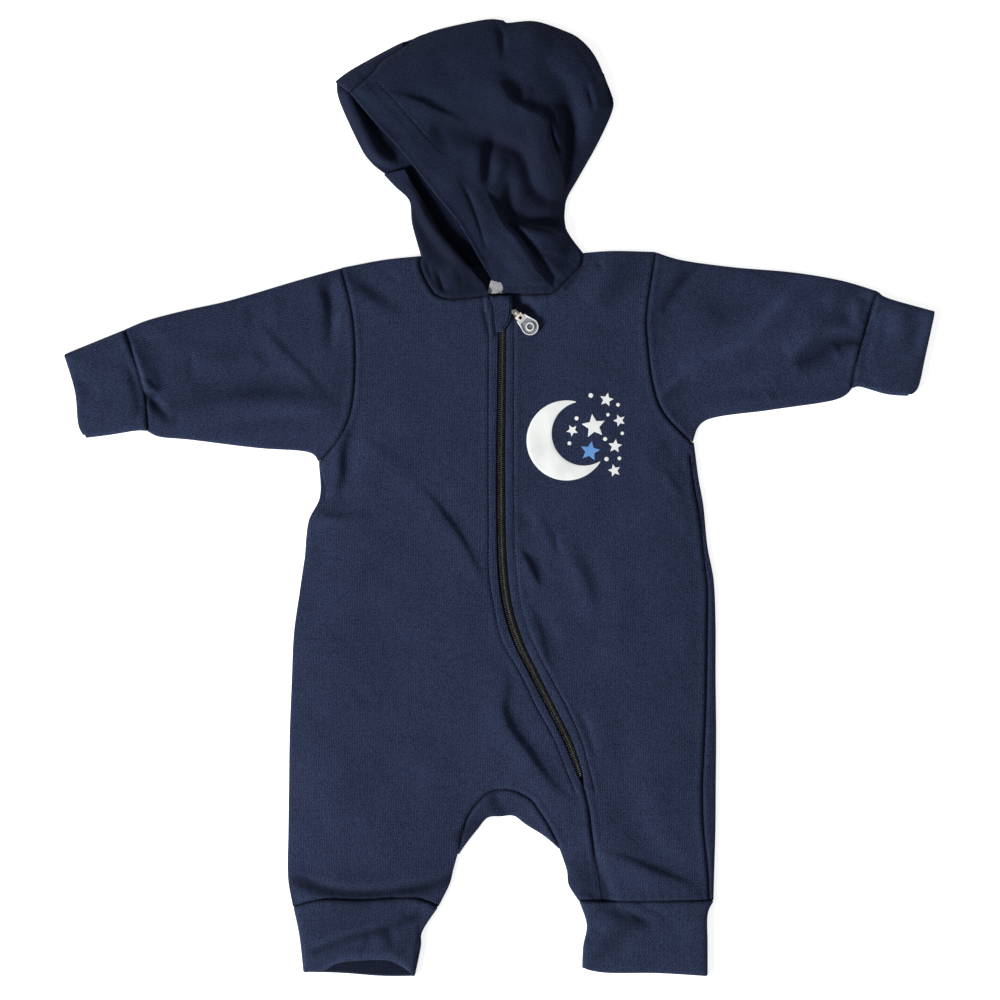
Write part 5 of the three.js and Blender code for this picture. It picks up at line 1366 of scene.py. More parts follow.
def makeLeftHood():
    form = leftHood
    left = edgeAlong([faceEdgeLeft, faceEdgeEnd], [0, form["faceEnd"], 1])
    right = edgeAlong([crownOver[-1:] + hoodNapeLeft])
    top = joinEdges([edge(crownSeam), edge(crownOver)], [0, form["crownEnd"], 1])
    bottom = joinEdges([edge(neckLeftStart), edge(neckLeft)], [0, form["neckStart"], 1])
    plan = panelPlan(left, right, top, bottom)
    crownUs = rows(form["crown"], form["crownPitch"], seamSteps)
    backUs = rows(form["back"], form["backPitch"], (0,), form["backSteps"])
    topUs = joinShares(crownUs, backUs, form["crownEnd"])
    neckCount = form["neckColumns"]
    neckUs = np.linspace(0, 1, neckCount), np.linspace(0, 1, len(topUs) + 1 - neckCount)
    bottomUs = joinShares(*neckUs, form["neckStart"])
    vs = rows(form["height"], form["heightPitch"], seamSteps, seamSteps)
    root = np.sqrt(vs)[:, None]
    grid = lift(plan(topUs * (1 - root) + bottomUs * root, vs[:, None] + 0 * topUs), hoodHeight)
    clothPiece("hood_left", [grid], wall, form["grain"])


makeRightFront()
makeLeftFront()
makeBack()
makeGusset()
print("trunk made")
makeSleeve("right", armholeRight, cuffSeamRight, sleeveTopRight, sleeveUnderRight, grain=80)
makeSleeve("left", armholeLeft, cuffSeamLeft, sleeveTopLeft, sleeveUnderLeft, grain=-80)
makeCuff("right", cuffSeamRight, cuffEndRight, cuffTopRight, cuffUnderRight, grain=75)
makeCuff("left", cuffSeamLeft, cuffEndLeft, cuffTopLeft, cuffUnderLeft, grain=-75)
makeLegCuff(
    "right", edge(hemSeamRight), legCuffSideRight, legCuffInnerRight,
    legCuffUpperHemRight, legCuffUnderHemRight,
)
makeLegCuff(
    "left", edgeAlong([hemSeamStrip, hemSeamLeft], [0, 0.17, 1]), legCuffInnerLeft, legCuffSideLeft,
    legCuffHemLeft, legCuffHemLeft,
)
print("sleeves and cuffs made")
makeRightHood()
makeLeftHood()
print("hood made")


# Zip: a tape under each front's edge, the closed coil between the edges
zipForm = {
    "tapeWall": 0.9, "tapeWidth": 11, "tapeDrop": 0.7, "tapeRows": 210, "tapeShares": [0.25, 0.5, 0.75, 1],
    "coilTop": 122, "coilEnd": -195, "coilSteps": 60, "pitch": 1.45, "drop": 0.35,
    "toothLength": 3, "toothRadius": 0.33, "toothSides": 8, "toothOver": 0.45, "toothLean": 16, "bevel": 0.16,
}


def tapeHeight(places):
    return frontHeight(places) - wall / 2 - zipForm["tapeWall"] / 2 - zipForm["tapeDrop"]


def makeTape(side, hand):
    ys = np.linspace(neckY, forkY, zipForm["tapeRows"])
    half = zipWidth(ys) / 2
    under = half[:, None] + np.array(zipForm["tapeShares"]) * (zipForm["tapeWidth"] - half[:, None])
    reaches = np.column_stack([0 * ys, half * 0.5, half, under])
    places = np.stack([zipMiddle(ys)[:, None] + hand * reaches, ys[:, None] + 0 * reaches], -1)
    if hand < 0:
        places = places[:, ::-1]
    grid = lift(places, tapeHeight)
    clothPiece(f"zip_tape_{side}", [grid], zipForm["tapeWall"])


lineForm = {"steps": 1200, "look": 0.6}  # how far ahead and behind a line's direction is read


def alongLine(points, step, first=0.5):  # evenly spaced places on a line and its direction there
    line = smoothLine(points, lineForm["steps"])
    run = np.concatenate([[0], np.cumsum(np.linalg.norm(np.diff(line, axis=0), axis=1))])
    at = (np.arange(int(run[-1] / step)) + first) * step

    def placeAt(way):
        return np.stack([np.interp(way, run, line[:, k]) for k in range(2)], -1)
    return placeAt(at), unit(placeAt(at + lineForm["look"]) - placeAt(at - lineForm["look"]))


def shapeOf(piece):  # a modelled piece as points in millimetres and faces, and the piece itself is removed
    points = np.array([v.co for v in piece.data.vertices]) / mm
    faces = [list(face.vertices) for face in piece.data.polygons]
    bpy.data.objects.remove(piece)
    return points, faces


def repeated(name, shape, places, forward):  # copies of one shape in one mesh
    points, faces = shape
    up = np.tile([0.0, 0.0, 1.0], (len(places), 1))
    sideways = unit(np.cross(up, forward))
    upward = np.cross(forward, sideways)
    basis = np.stack([forward, sideways, upward], axis=1)
    every = (points @ basis + places[:, None, :]).reshape(-1, 3)
    step = len(points)
    allFaces = [[k + n * step for k in face] for n in range(len(places)) for face in faces]
    return newPiece(name, every, allFaces)


def selectNone():
    if bpy.context.object and bpy.context.object.mode != "OBJECT":
        bpy.ops.object.mode_set(mode="OBJECT")
    bpy.ops.object.select_all(action="DESELECT")


def settle(piece):  # its place goes into its mesh
    bpy.ops.object.transform_apply(location=True, rotation=True, scale=True)
    return piece


def makeTooth():
    selectNone()
    length = zipForm["toothLength"]
    bpy.ops.mesh.primitive_cylinder_add(
        vertices=zipForm["toothSides"], radius=zipForm["toothRadius"] * mm, depth=length * mm,
        location=(0, (length / 2 - zipForm["toothOver"]) * mm, 0), rotation=(math.pi / 2, 0, 0),
    )
    tooth = bpy.context.active_object
    settle(tooth)
    bpy.ops.object.mode_set(mode="EDIT")
    bpy.ops.mesh.select_all(action="SELECT")
    bpy.ops.mesh.bevel(offset=zipForm["bevel"] * mm, segments=1)
    bpy.ops.object.mode_set(mode="OBJECT")
    return shapeOf(tooth)


def makeCoil():
    ys = np.linspace(zipForm["coilTop"], zipForm["coilEnd"], zipForm["coilSteps"])
    line = [(float(zipMiddle(y)), y) for y in ys]
    tooth = makeTooth()
    allPlaces, allForward = [], []
    for hand, first in ((1, 0.25), (-1, 0.75)):  # the two rows mesh
        place, ahead = alongLine(line, zipForm["pitch"], first)
        z = frontHeight(place) - zipForm["drop"]
        turn = math.radians(hand * zipForm["toothLean"])
        spun = ahead @ np.array([[math.cos(turn), math.sin(turn)], [-math.sin(turn), math.cos(turn)]])
        allPlaces.append(np.column_stack([place, z]))
        allForward.append(np.column_stack([spun * hand, 0 * z]))
    places, forward = np.concatenate(allPlaces), np.concatenate(allForward)
    pieces["zip_coil"] = repeated("zip_coil_closed", tooth, places, forward)


# Stitches: one modelled and laid along each sewn line
stitchForm = {"length": 2.2, "radius": 0.3, "flat": 0.8, "pitch": 2.9, "above": 0.16, "look": 0.9}


def makeStitch():
    selectNone()
    bpy.ops.mesh.primitive_uv_sphere_add(segments=6, ring_count=5, radius=mm)
    stitch = bpy.context.active_object
    stitch.rotation_euler = (0, math.pi / 2, 0)
    radius = stitchForm["radius"]
    stitch.scale = (radius * stitchForm["flat"], radius, stitchForm["length"] / 2)
    settle(stitch)
    return shapeOf(stitch)


def sewnPlaces(points, height, layer, step=None):
    place, ahead = alongLine(points, step or stitchForm["pitch"])
    z = height(place) + layer / 2 + stitchForm["above"]
    look = ahead * stitchForm["look"]
    rise = height(place + look) - height(place - look)
    return np.column_stack([place, z]), unit(np.column_stack([look * 2, rise]))


# Chin guard over the zip's top end, raised over the slider, and the plain tag at the neck
guardTop = [(-5.9, 141.6), (8.4, 142.4)]
guardRight = [(8.4, 142.4), (8.6, 133), (7.4, 124.6), (4.2, 119.6), (1.2, 116.6)]
guardLeft = [(-5.9, 141.6), (-3.5, 134.4), (-2.6, 125), (-1.8, 117)]
guardTip = [(-1.8, 117), (1.2, 116.6)]
guardForm = {
    "wall": 1.1, "rest": 0.4, "over": 1.55, "upper": 142, "upperSlope": 6, "lower": 116.5, "lowerSlope": 4.5,
    "highest": 7.7, "columns": 20, "length": 25, "pitch": 0.8, "grain": 4,
}
labelLeft = [(-5.4, 153.2), (-8.2, 144)]
labelRight = [(1.6, 153.6), (5.4, 148.5), (4, 144)]
labelForm = {
    "wall": 0.8, "height": 3.95, "rise": 0.9, "foot": 144, "length": 10, "curl": 0.006, "middle": -1,
    "columns": 14, "rows": 12,
}


def guardHeight(places):
    y = places[:, 1]
    below = ease((guardForm["upper"] - y) / guardForm["upperSlope"])
    above = ease((y - guardForm["lower"]) / guardForm["lowerSlope"])
    over = guardForm["over"] * below * above
    height = frontHeight(places) + (wall + guardForm["wall"]) / 2 + guardForm["rest"] + over
    return np.minimum(height, guardForm["highest"])


def makeGuard():
    plan = panelPlan(*[edge(line) for line in (guardLeft, guardRight, guardTop, guardTip)])
    us = np.linspace(0, 1, guardForm["columns"])
    vs = rows(guardForm["length"], guardForm["pitch"])
    grids = liftedAll(guardHeight, (plan, us, us, vs))
    clothPiece("chin_guard", grids, guardForm["wall"], guardForm["grain"])


def labelHeight(places):
    rise = labelForm["rise"] * ease((places[:, 1] - labelForm["foot"]) / labelForm["length"])
    return labelForm["height"] + rise - labelForm["curl"] * (places[:, 0] - labelForm["middle"]) ** 2


def makeLabel():
    left, right = edge(labelLeft), edge(labelRight)
    plan = panelPlan(left, right, straightEdge(left(0), right(0)), straightEdge(left(1), right(1)))
    us, vs = np.linspace(0, 1, labelForm["columns"]), np.linspace(0, 1, labelForm["rows"])
    grid = lift(gridPlaces(plan, us, us, vs), labelHeight)
    clothPiece("neck_label", [grid], labelForm["wall"])


# Chest print: a moon, stars and dots as thin films on the left front
chestPrint = {
    "x": 55.3, "y": 42, "film": 0.14, "above": 0.04,
    "moon": (-8, -1, 28, 22.5, 13, 22),  # middle, outer and inner radius, inner circle's offset and its way
    "hornTrim": 0.012, "moonSteps": (90, 9), "starWaist": 0.46, "starSteps": 6, "dotSteps": 25,
    "stars": [  # x, y, radius, turn
        (11, 9, 8.6, 8), (20, 27.5, 5, -12), (29, 13, 4.4, 20), (-4, 6, 4.2, 30), (26, -5, 5, -6),
        (25.5, -22, 4.6, 14),
    ],
    "blueStar": (8.5, -8.5, 7.2, -10),
    "dots": [
        (9, 30.5, 1.6), (28, 24, 1.3), (21, 17, 1.2), (-1, 14.5, 1.4), (19, 0, 1.4), (31, 4, 1.2),
        (20, -14, 1.5), (29, -13.5, 1.3), (-6, -3, 1.3),
    ],
}


def printHeight(places):
    return frontHeight(places) + wall / 2 + chestPrint["film"] / 2 + chestPrint["above"]


def filmGrid(places):
    return lift(places + np.array([chestPrint["x"], chestPrint["y"]]), printHeight)


def moonGrid(x, y, outer, inner, offset, way):
    way = math.radians(way)
    half = math.acos((outer**2 + offset**2 - inner**2) / (2 * outer * offset))
    centre = offset * np.array([math.cos(way), math.sin(way)])
    horn = outer * np.array([math.cos(way + half), math.sin(way + half)]) - centre
    start = math.atan2(horn[1], horn[0]) - way
    trim, (steps, across) = chestPrint["hornTrim"], chestPrint["moonSteps"]
    t = np.linspace(trim, 1 - trim, steps)[:, None]
    w = np.linspace(0, 1, across)
    outerTurn = way + half + (2 * math.pi - 2 * half) * t
    innerTurn = way + start + (2 * math.pi - 2 * start) * t
    outerArc = outer * np.stack([np.cos(outerTurn), np.sin(outerTurn)], -1)
    innerArc = centre + inner * np.stack([np.cos(innerTurn), np.sin(innerTurn)], -1)
    places = outerArc * (1 - w)[:, None] + innerArc * w[:, None]
    return filmGrid(places + np.array([x, y]))


def starGrids(x, y, radius, turn):  # five kites round the middle
    def corner(angle, reach):
        way = math.radians(angle)
        return radius * reach * np.array([math.cos(way), math.sin(way)])
    steps = np.linspace(0, 1, chestPrint["starSteps"])
    u, v = [side[..., None] for side in np.meshgrid(steps, steps)]
    waist = chestPrint["starWaist"]
    grids = []
    for n in range(5):
        tip = turn + 90 + 72 * n
        before, end, after = corner(tip - 36, waist), corner(tip, 1), corner(tip + 36, waist)
        places = before * u * (1 - v) + end * u * v + after * (1 - u) * v
        grids.append(filmGrid(places[:, ::-1] + np.array([x, y])))
    return grids


def dotGrid(x, y, radius):
    turns = np.linspace(0, 2 * math.pi, chestPrint["dotSteps"])
    reaches = np.array([0.0, 0.5, 1]) * radius
    places = np.stack([np.outer(reaches, np.cos(turns)), np.outer(reaches, np.sin(turns))], -1)
    return filmGrid(places + np.array([x, y]))


def makePrint():
    grids = [moonGrid(*chestPrint["moon"])]
    for star in chestPrint["stars"]:
        grids += starGrids(*star)
    grids += [dotGrid(*dot) for dot in chestPrint["dots"]]
    white = clothShell("chest_print_white", grids, chestPrint["film"])
    blue = clothShell("chest_print_blue", starGrids(*chestPrint["blueStar"]), chestPrint["film"])
    return white, blue


# Link and pull tab, modelled along x from the slider's pin and then turned into place
pin = {"x": 12, "y": 129.6, "z": 8, "radius": 0.6, "clearance": 0.3, "turn": -43.5}
eyeForm = {"radius": 1.25, "width": 1.5, "play": 0.02}
linkForm = {
    "from": 1.5, "to": 6.3, "width": 5.6, "wall": 1.8, "floor": -1.4, "window": 2.2, "windowShift": 0.2,
    "neckFrom": 0.7, "neckOver": 0.2, "neckFloor": 0.5, "neckTop": 0.1, "soft": 0.22,
}
tabForm = {
    "from": 4.3, "centre": 13.3, "radius": 5.9, "neck": 7.8, "wall": 1.8, "floor": -1.4, "shoulder": 112,
    "run": 0.72, "bow": 0.9, "rim": 0.6, "neckRims": 2.1, "sunk": 0.55, "ring": 2.6, "ringWidth": 0.42,
    "ringHigh": 0.85, "ringFloor": 0.3, "dimple": 1.9, "dimpleDeep": 0.5, "pip": 0.55, "pipHigh": 0.8,
    "pipDrop": 0.35, "forkTo": 6.6, "fork": 3.05, "skin": 0.01, "soft": 0.14, "highlightTo": 0.4,
}
through = (-5, 5)  # low and high end of a cut right through


def modified(piece, kind, **settings):
    modifier = piece.modifiers.new(kind.lower(), kind)
    for name, value in settings.items():
        setattr(modifier, name, value)
    bpy.context.view_layer.objects.active = piece
    bpy.ops.object.modifier_apply(modifier=modifier.name)


def cut(piece, tool, operation="DIFFERENCE"):
    modified(piece, "BOOLEAN", operation=operation, solver="EXACT", object=tool)
    bpy.data.objects.remove(tool)


def unite(piece, tool):
    cut(piece, tool, "UNION")


def soften(piece, width):
    angle = math.radians(40)
    modified(piece, "BEVEL", width=width * mm, segments=2, limit_method="ANGLE", angle_limit=angle)


def addBox(*sides):  # from and to along x, y and z
    selectNone()
    bpy.ops.mesh.primitive_cube_add(size=1, location=[(a + b) / 2 * mm for a, b in sides])
    box = bpy.context.active_object
    box.scale = [(b - a) * mm for a, b in sides]
    return settle(box)


def addBar(radius, length, place, axis, sides):
    selectNone()
    turn = {"y": (math.pi / 2, 0, 0), "z": (0, 0, 0)}[axis]
    bpy.ops.mesh.primitive_cylinder_add(
        vertices=sides, radius=radius * mm, depth=length * mm,
        location=[c * mm for c in place], rotation=turn,
    )
    return settle(bpy.context.active_object)


def putInPlace(piece, name):
    piece.name = name
    piece.data.name = name
    place = Matrix.Translation(Vector((pin["x"], pin["y"], pin["z"])) * mm)
    piece.data.transform(place @ Matrix.Rotation(math.radians(pin["turn"]), 4, "Z"))
    selectNone()
    piece.select_set(True)
    bpy.context.view_layer.objects.active = piece
    bpy.ops.object.shade_smooth_by_angle(angle=math.radians(38))
    return piece


def makeLink():
    half = linkForm["width"] / 2
    top = linkForm["floor"] + linkForm["wall"]
    link = addBox((linkForm["from"], linkForm["to"]), (-half, half), (linkForm["floor"], top))
    window = linkForm["window"] / 2
    middle = (linkForm["from"] + linkForm["to"]) / 2 + linkForm["windowShift"]
    cut(link, addBox((middle - window, middle + window), (-window, window), through))
    eyeHalf = eyeForm["width"] / 2
    neck = linkForm["neckFrom"], linkForm["from"] + linkForm["neckOver"]
    neckZs = linkForm["floor"] + linkForm["neckFloor"], top - linkForm["neckTop"]
    unite(link, addBox(neck, (-eyeHalf, eyeHalf), neckZs))
    unite(link, addBar(eyeForm["radius"], eyeForm["width"] - eyeForm["play"], (0, 0, 0), "y", 32))
    cut(link, addBar(pin["radius"] + pin["clearance"], 4, (0, 0, 0), "y", 24))
    soften(link, linkForm["soft"])
    return putInPlace(link, "pull_link_cast")


def addDrop(start, neck, radius, zs):  # a disc whose side towards the link runs out into a neck
    centre, shoulder = tabForm["centre"], math.radians(tabForm["shoulder"])
    drop = addBar(radius, zs[1] - zs[0], (centre, 0, (zs[0] + zs[1]) / 2), "z", 96)
    side, begin = radius * math.sin(shoulder), centre + radius * math.cos(shoulder)
    for vertex in drop.data.vertices:
        turn = math.atan2(vertex.co.y, vertex.co.x - centre * mm)
        share = (abs(turn) - shoulder) / (math.pi - shoulder)
        if share > 0:
            run = min(share / tabForm["run"], 1)
            bowed = side + (neck / 2 - side) * run ** tabForm["bow"]
            half = bowed if run < 1 else neck / 2 * (1 - share) / (1 - tabForm["run"])
            vertex.co.x = (begin + (start - begin) * run) * mm
            vertex.co.y = math.copysign(half * mm, turn)
    return drop


def makeTab():
    form = tabForm
    centre, rim, low, fork = form["centre"], form["rim"], form["floor"], form["fork"]
    top = low + form["wall"]
    floorTop = top - form["sunk"]
    tab = addDrop(form["from"], form["neck"], form["radius"], (low, top))
    sunkNeck, sunkRadius = form["neck"] - form["neckRims"] * rim, form["radius"] - rim
    cut(tab, addDrop(form["forkTo"] + rim, sunkNeck, sunkRadius, (floorTop, top + 2)))
    cut(tab, addBox((form["from"] - 1, form["forkTo"]), (-fork, fork), through))
    ringTop, ringFloor = floorTop + form["ringHigh"], low + form["ringFloor"]
    ringMiddle = (centre, 0, (ringTop + ringFloor) / 2)
    ring = addBar(form["ring"] + form["ringWidth"], ringTop - ringFloor, ringMiddle, "z", 64)
    hole = (centre, 0, floorTop + form["skin"] + 3)
    cut(ring, addBar(form["ring"] - form["ringWidth"], 6, hole, "z", 64))
    unite(tab, ring)
    cut(tab, addBar(form["dimple"], 2, (centre, 0, floorTop - form["dimpleDeep"] + 1), "z", 48))
    unite(tab, addBar(form["pip"], form["pipHigh"], (centre, 0, floorTop - form["pipDrop"]), "z", 32))
    soften(tab, form["soft"])
    return putInPlace(tab, "pull_tab_moulded")


makeTape("right", -1)
makeTape("left", 1)
makeCoil()
makeGuard()
makeLabel()
printWhite, printBlue = makePrint()
stitch = makeStitch()
guardEdge = [(7.3, 141), (7.4, 133), (6.3, 125.4), (3.4, 120.6), (0.4, 118.2)]
flapHem = [(-30, 166), (-28, 156), (-26.6, 144)]
sewn = [
    sewnPlaces(stitchZipRight, frontHeight, wall),
    sewnPlaces(stitchZipLeft, frontHeight, wall),
    sewnPlaces(stitchHood, hoodHeight, wall),
    sewnPlaces(flapHem, flapHeight, wall),
    sewnPlaces(guardEdge, guardHeight, guardForm["wall"], 2.4),
]
stitches = repeated("topstitch_thread", stitch, *[np.concatenate(part) for part in zip(*sewn)])
print("zip, print and stitches made")
link, tab = makeLink(), makeTab()
print("link and pull tab made")


# Finishes
def addNode(tree, kind, inputs=None, **settings):
    made = tree.nodes.new(kind)
    for name, value in settings.items():
        setattr(made, name, value)
    for key, value in (inputs or {}).items():
        if isinstance(value, bpy.types.NodeSocket):
            tree.links.new(value, made.inputs[key])
        else:
            made.inputs[key].default_value = value
    return made


def maths(tree, operation, *values):
    return addNode(tree, "ShaderNodeMath", dict(enumerate(values)), operation=operation).outputs[0]


def separated(tree, place):
    return addNode(tree, "ShaderNodeSeparateXYZ", {0: place}).outputs


def newGroup(name, inputs, outputs):
    group = bpy.data.node_groups.new(name, "ShaderNodeTree")
    for way, sockets in (("INPUT", inputs), ("OUTPUT", outputs)):
        for label, kind, value in sockets:
            socket = group.interface.new_socket(label, in_out=way, socket_type=kind)
            if value is not None:
                socket.default_value = value
    start = group.nodes.new("NodeGroupInput").outputs
    end = group.nodes.new("NodeGroupOutput").inputs
    return group, start, end


def mixColours(tree, share, first, second):
    made = addNode(tree, "ShaderNodeMix", data_type="RGBA")
    for socket, value in zip((made.inputs[0], made.inputs[6], made.inputs[7]), (share, first, second)):
        if isinstance(value, bpy.types.NodeSocket):
            tree.links.new(value, socket)
        else:
            socket.default_value = value
    return made.outputs[2]


def ramp(tree, value, start, end, low=0.0, high=1.0):
    made = addNode(tree, "ShaderNodeMapRange", {0: value, 1: start, 2: end, 3: low, 4: high})
    return made.outputs[0]


def noiseOn(tree, place, scale, detail=2.0, roughness=0.5):
    settings = {"Vector": place, "Scale": scale, "Detail": detail, "Roughness": roughness}
    return addNode(tree, "ShaderNodeTexNoise", settings).outputs["Fac"]


knitForm = {
    "drift": (110.0, 1.6),  # scale of the wales' wandering, and how many wales it is
    # seam: painted shade along each seam, as the distances it runs from and to and the share of tone there
    # and beyond
    "lean": 1.1, "stitch": (0.55, 0.45), "tone": 0.16, "seam": (0.0002, 0.0013, 0.08, 1.0),
    "fuzz": 1500.0, "fibres": 0.5, "roughness": (0.2, 0.8, 0.82, 0.97),
    "nap": [  # scale, where the tone starts and ends, and its share
        (1500.0, 0.38, 0.62, 0.2), (950.0, 0.43, 0.57, 0.42), (620.0, 0.42, 0.58, 0.16),
        (230.0, 0.38, 0.62, 0.12), (34.0, 0.35, 0.65, 0.1), (900.0, 0.6, 0.7, 0.4),
    ],
}


def makeKnit():  # jersey: wales and courses of small V stitches, fuzz and uneven dye, with painted shade along the seams and in the folds, and painted light on lit folds
    number, colour = "NodeSocketFloat", "NodeSocketColor"
    group, given, out = newGroup(
        "jerseyKnit",
        [
            ("Wale", number, 1.1), ("Course", number, 0.9),
            ("Dark", colour, (0, 0, 0, 1)), ("Light", colour, (1, 1, 1, 1)),
        ],
        [("Color", colour, None), ("Height", number, None), ("Roughness", number, None)],
    )

    def times(*values):
        return maths(group, "MULTIPLY", *values)

    def plus(*values):
        return maths(group, "ADD", *values)

    def scaled(value, factor, base):
        return maths(group, "MULTIPLY_ADD", value, factor, base)
    place = addNode(group, "ShaderNodeUVMap", uv_map="grain").outputs[0]
    parts = separated(group, place)
    across = maths(group, "DIVIDE", times(parts[0], 1 / mm), given["Wale"])
    along = maths(group, "DIVIDE", times(parts[1], 1 / mm), given["Course"])
    driftScale, drift = knitForm["drift"]
    wale = maths(group, "FRACT", plus(across, times(noiseOn(group, place, driftScale), drift)))
    rib = maths(group, "SINE", times(wale, math.pi))
    lean = maths(group, "ABSOLUTE", maths(group, "SUBTRACT", wale, 0.5))
    turn = times(plus(along, times(lean, knitForm["lean"])), 2 * math.pi)
    stitch = scaled(maths(group, "SINE", turn), 0.5, 0.5)
    form = times(rib, scaled(stitch, *knitForm["stitch"]))
    fuzz = noiseOn(group, place, knitForm["fuzz"], 2.0, 0.7)
    tone = times(form, knitForm["tone"])
    for scale, low, high, share in knitForm["nap"]:
        tone = plus(tone, times(ramp(group, noiseOn(group, place, scale, 2.0, 0.6), low, high), share))
    shade = separated(group, addNode(group, "ShaderNodeUVMap", uv_map="seamAndShade").outputs[0])
    # painted shade: the tone falls near the seams and follows the painted shade and light of the folds
    tone = times(times(tone, ramp(group, shade[0], *knitForm["seam"])), shade[1])
    group.links.new(mixColours(group, tone, given["Dark"], given["Light"]), out["Color"])
    group.links.new(plus(form, times(fuzz, knitForm["fibres"])), out["Height"])
    group.links.new(ramp(group, fuzz, *knitForm["roughness"]), out["Roughness"])
    return group


knit = makeKnit()


def newMaterial(name):
    material = bpy.data.materials.new(name)
    material.use_nodes = True
    tree = material.node_tree
    shader = next(n for n in tree.nodes if n.type == "BSDF_PRINCIPLED")
    return material, tree, shader


def roughen(tree, shader, height, strength, distance):
    bump = addNode(tree, "ShaderNodeBump", {"Height": height})
    bump.inputs["Strength"].default_value = strength
    bump.inputs["Distance"].default_value = distance
    tree.links.new(bump.outputs[0], shader.inputs["Normal"])


def setSockets(node, values):
    for key, value in values.items():
        node.inputs[key].default_value = value


nap = {"Specular IOR Level": 0.12, "Sheen Roughness": 0.45, "Sheen Tint": (0.55, 0.68, 1, 1)}
bodyLook = {
    "Wale": 1.15, "Course": 0.95, "Dark": (0.003, 0.0045, 0.013, 1), "Light": (0.0315, 0.044, 0.098, 1),
}
cuffLook = dict(bodyLook, Wale=0.95, Course=0.9, Light=(0.033, 0.047, 0.102, 1))
# painted shade: the hood's cloth is the body's cloth made darker
hoodShadedLook = dict(bodyLook, Dark=(0.0025, 0.0035, 0.010, 1), Light=(0.0166, 0.0245, 0.058, 1))
tapeLook = {"Wale": 0.6, "Course": 0.5, "Dark": (0.002, 0.002, 0.003, 1), "Light": (0.012, 0.012, 0.014, 1)}
labelLook = {"Wale": 0.45, "Course": 0.4, "Dark": (0.2, 0.2, 0.215, 1), "Light": (0.46, 0.46, 0.48, 1)}


def clothFinish(name, look, relief=0.9):
    material, tree, shader = newMaterial(name)
    weave = addNode(tree, "ShaderNodeGroup", node_tree=knit)
    setSockets(weave, look)
    roughen(tree, shader, weave.outputs["Height"], relief, 0.0003)
    tree.links.new(weave.outputs["Color"], shader.inputs["Base Color"])
    tree.links.new(weave.outputs["Roughness"], shader.inputs["Roughness"])
    setSockets(shader, dict(nap, **{"Sheen Weight": 0.06}))
    return material


bodyCloth = clothFinish("navy_sweat_cloth", bodyLook)
cuffCloth = clothFinish("navy_cuff_cloth", cuffLook)
hoodShadedCloth = clothFinish("navy_hood_cloth_painted_shade", hoodShadedLook)
tapeCloth = clothFinish("black_tape", tapeLook)
labelCloth = clothFinish("grey_label", labelLook, 0.4)


def simpleFinish(name, dark, light, scale, roughness, relief, reliefScale=None, **sockets):
    material, tree, shader = newMaterial(name)
    place = addNode(tree, "ShaderNodeTexCoord").outputs["Object"]
    blot = ramp(tree, noiseOn(tree, place, scale, 3.0), 0.35, 0.65)
    wear = ramp(tree, noiseOn(tree, place, scale * 2.3), 0.3, 0.7, *roughness)
    tree.links.new(mixColours(tree, blot, (*dark, 1), (*light, 1)), shader.inputs["Base Color"])
    tree.links.new(wear, shader.inputs["Roughness"])
    roughen(tree, shader, noiseOn(tree, place, reliefScale or scale * 4), relief, 0.0001)
    setSockets(shader, {key.replace("_", " "): value for key, value in sockets.items()})
    return material


# Each: its dark and light colour, the pattern's scale, its roughness from and to, and its relief
coilNylon = simpleFinish(
    "black_coil", (0.02, 0.0195, 0.0195), (0.085, 0.082, 0.082), 700, (0.34, 0.5), 0.3,
    Specular_IOR_Level=0.5,
)
threadLook = simpleFinish(
    "navy_thread", (0.001, 0.0015, 0.0035), (0.004, 0.0055, 0.013), 900, (0.75, 0.9), 0.3,
    Specular_IOR_Level=0.05,
)
printWhiteLook = simpleFinish("print_white", (0.78, 0.8, 0.79), (0.9, 0.92, 0.9), 60, (0.42, 0.6), 0.5, 1500)
printBlueLook = simpleFinish("print_blue", (0.1, 0.26, 0.58), (0.14, 0.33, 0.68), 60, (0.42, 0.6), 0.5, 1500)
sliderMetal = simpleFinish(
    "slider_metal", (0.55, 0.52, 0.46), (0.72, 0.69, 0.62), 500, (0.25, 0.42), 0.2, Metallic=0.9,
)
linkMetal = simpleFinish(
    "link_metal", (0.66, 0.62, 0.52), (0.92, 0.9, 0.82), 420, (0.28, 0.45), 0.2, Metallic=0.15,
)
tabPlastic = simpleFinish(
    "clear_plastic", (0.26, 0.275, 0.31), (0.36, 0.375, 0.41), 220, (0.12, 0.26), 0.15,
    Transmission_Weight=0.35, IOR=1.49,
)
# painted highlight: white colour for the clear tab's rim and raised ring
tabRimHighlight = simpleFinish(
    "white_plastic_painted_highlight", (0.72, 0.74, 0.76), (0.88, 0.9, 0.91), 220, (0.18, 0.32), 0.12,
    Specular_IOR_Level=0.6,
)
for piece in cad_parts.values():
    if piece.name == "zip_slider":
        for slotNumber in range(len(piece.material_slots)):
            piece.material_slots[slotNumber].material = sliderMetal
finishes = {"hood": hoodShadedCloth, "cuff": cuffCloth, "leg": cuffCloth, "neck": labelCloth}
finishes.update({"zip_tape_right": tapeCloth, "zip_tape_left": tapeCloth, "zip_coil": coilNylon})
for node, piece in pieces.items():
    piece.data.materials.append(finishes.get(node, finishes.get(node.split("_")[0], bodyCloth)))
for piece, look in (
    (stitches, threadLook), (printWhite, printWhiteLook), (printBlue, printBlueLook),
    (link, linkMetal), (tab, tabPlastic),
):
    piece.data.materials.clear()
    piece.data.materials.append(look)
tab.data.materials.append(tabRimHighlight)
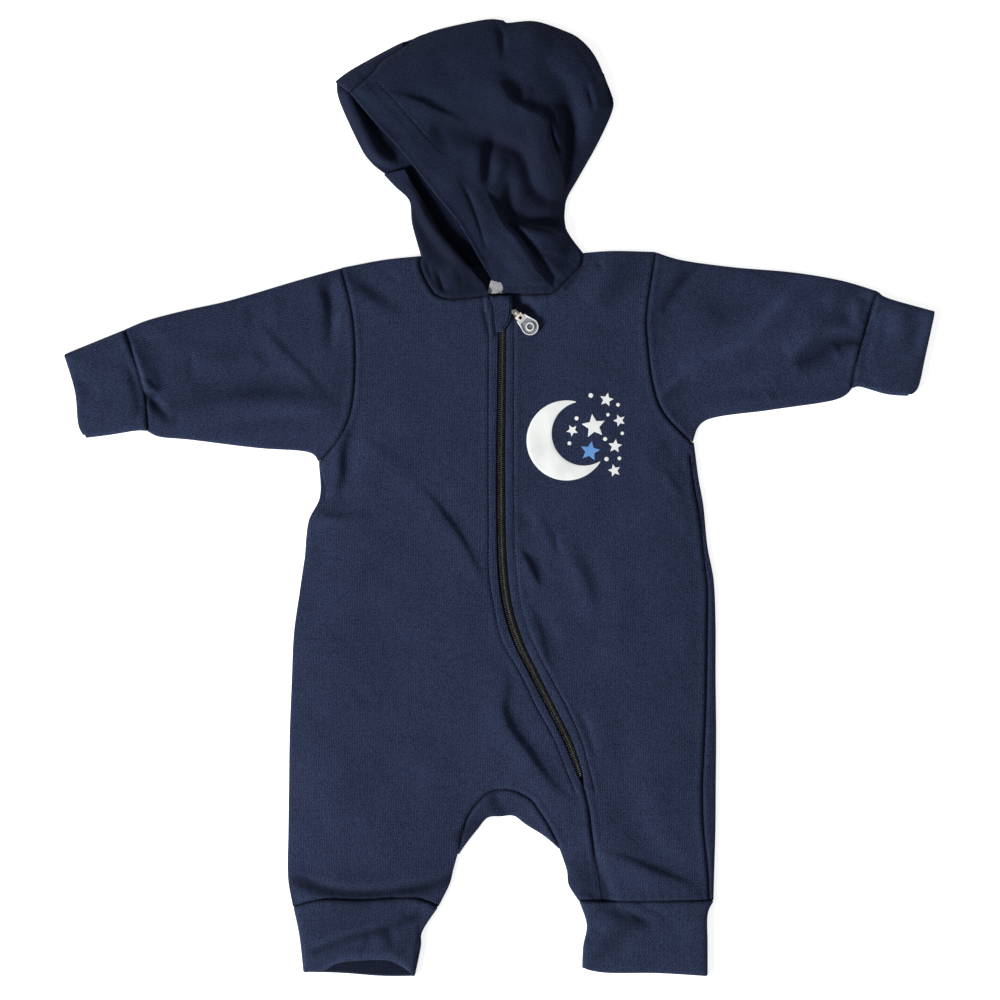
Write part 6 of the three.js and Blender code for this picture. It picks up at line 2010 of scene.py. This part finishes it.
rimFrom = (pin["z"] + tabForm["floor"] + tabForm["wall"] - tabForm["highlightTo"] * tabForm["sunk"]) * mm
for face in tab.data.polygons:  # painted highlight: the rim and the ring are white where the clear plastic shows a glint, the sunk floor is clear
    face.material_index = int(face.center.z > rimFrom)

# Floor and light
studio = {
    "floor": 3.0, "glow": 0.75, "world": 0.2,
    "key": ((-3, -1.75, 1.85), (0, -0.05, 0), 1.1, 255),  # place, aim, size and power
    "fill": ((1.6, 1.2, 1.9), (0, 0, 0), 2.0, 9),
}
selectNone()
bpy.ops.mesh.primitive_grid_add(x_subdivisions=2, y_subdivisions=2, size=studio["floor"], location=(0, 0, 0))
floor = settle(bpy.context.active_object)
floor.name = "floor"
material, tree, shader = newMaterial("floor_white")
place = addNode(tree, "ShaderNodeTexCoord").outputs["Object"]
shade = mixColours(tree, noiseOn(tree, place, 3.0), (0.92, 0.92, 0.92, 1), (0.95, 0.95, 0.95, 1))
tree.links.new(shade, shader.inputs["Base Color"])
shader.inputs["Roughness"].default_value = 0.9
tree.links.new(shade, shader.inputs["Emission Color"])
shader.inputs["Emission Strength"].default_value = studio["glow"]
floor.data.materials.append(material)


def areaLight(name, place, aim, size, power):
    data = bpy.data.lights.new(name, "AREA")
    data.shape = "DISK"
    data.size = size
    data.energy = power
    lamp = bpy.data.objects.new(name, data)
    bpy.context.scene.collection.objects.link(lamp)
    lamp.location = place
    lamp.rotation_euler = (Vector(aim) - Vector(place)).to_track_quat("-Z", "Y").to_euler()


for name in ("key", "fill"):
    areaLight(name, *studio[name])
world = bpy.data.worlds.new("world")
bpy.context.scene.world = world
world.use_nodes = True
setSockets(world.node_tree.nodes["Background"], {0: (1, 1, 1, 1), 1: studio["world"]})
bpy.context.scene.view_settings.view_transform = "Standard"
print("finishes and light set")

# Each piece goes under its body, and the nodes that the pieces stand for are hidden
for node, piece in pieces.items():
    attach(piece, "romper")
    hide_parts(node)
for piece in (stitches, printWhite, printBlue):
    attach(piece, "romper")
for piece, node, slot in ((link, "pull_link", "slider_metal"), (tab, "pull_tab", "tab_plastic")):
    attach(piece, "tab")
    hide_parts(node)
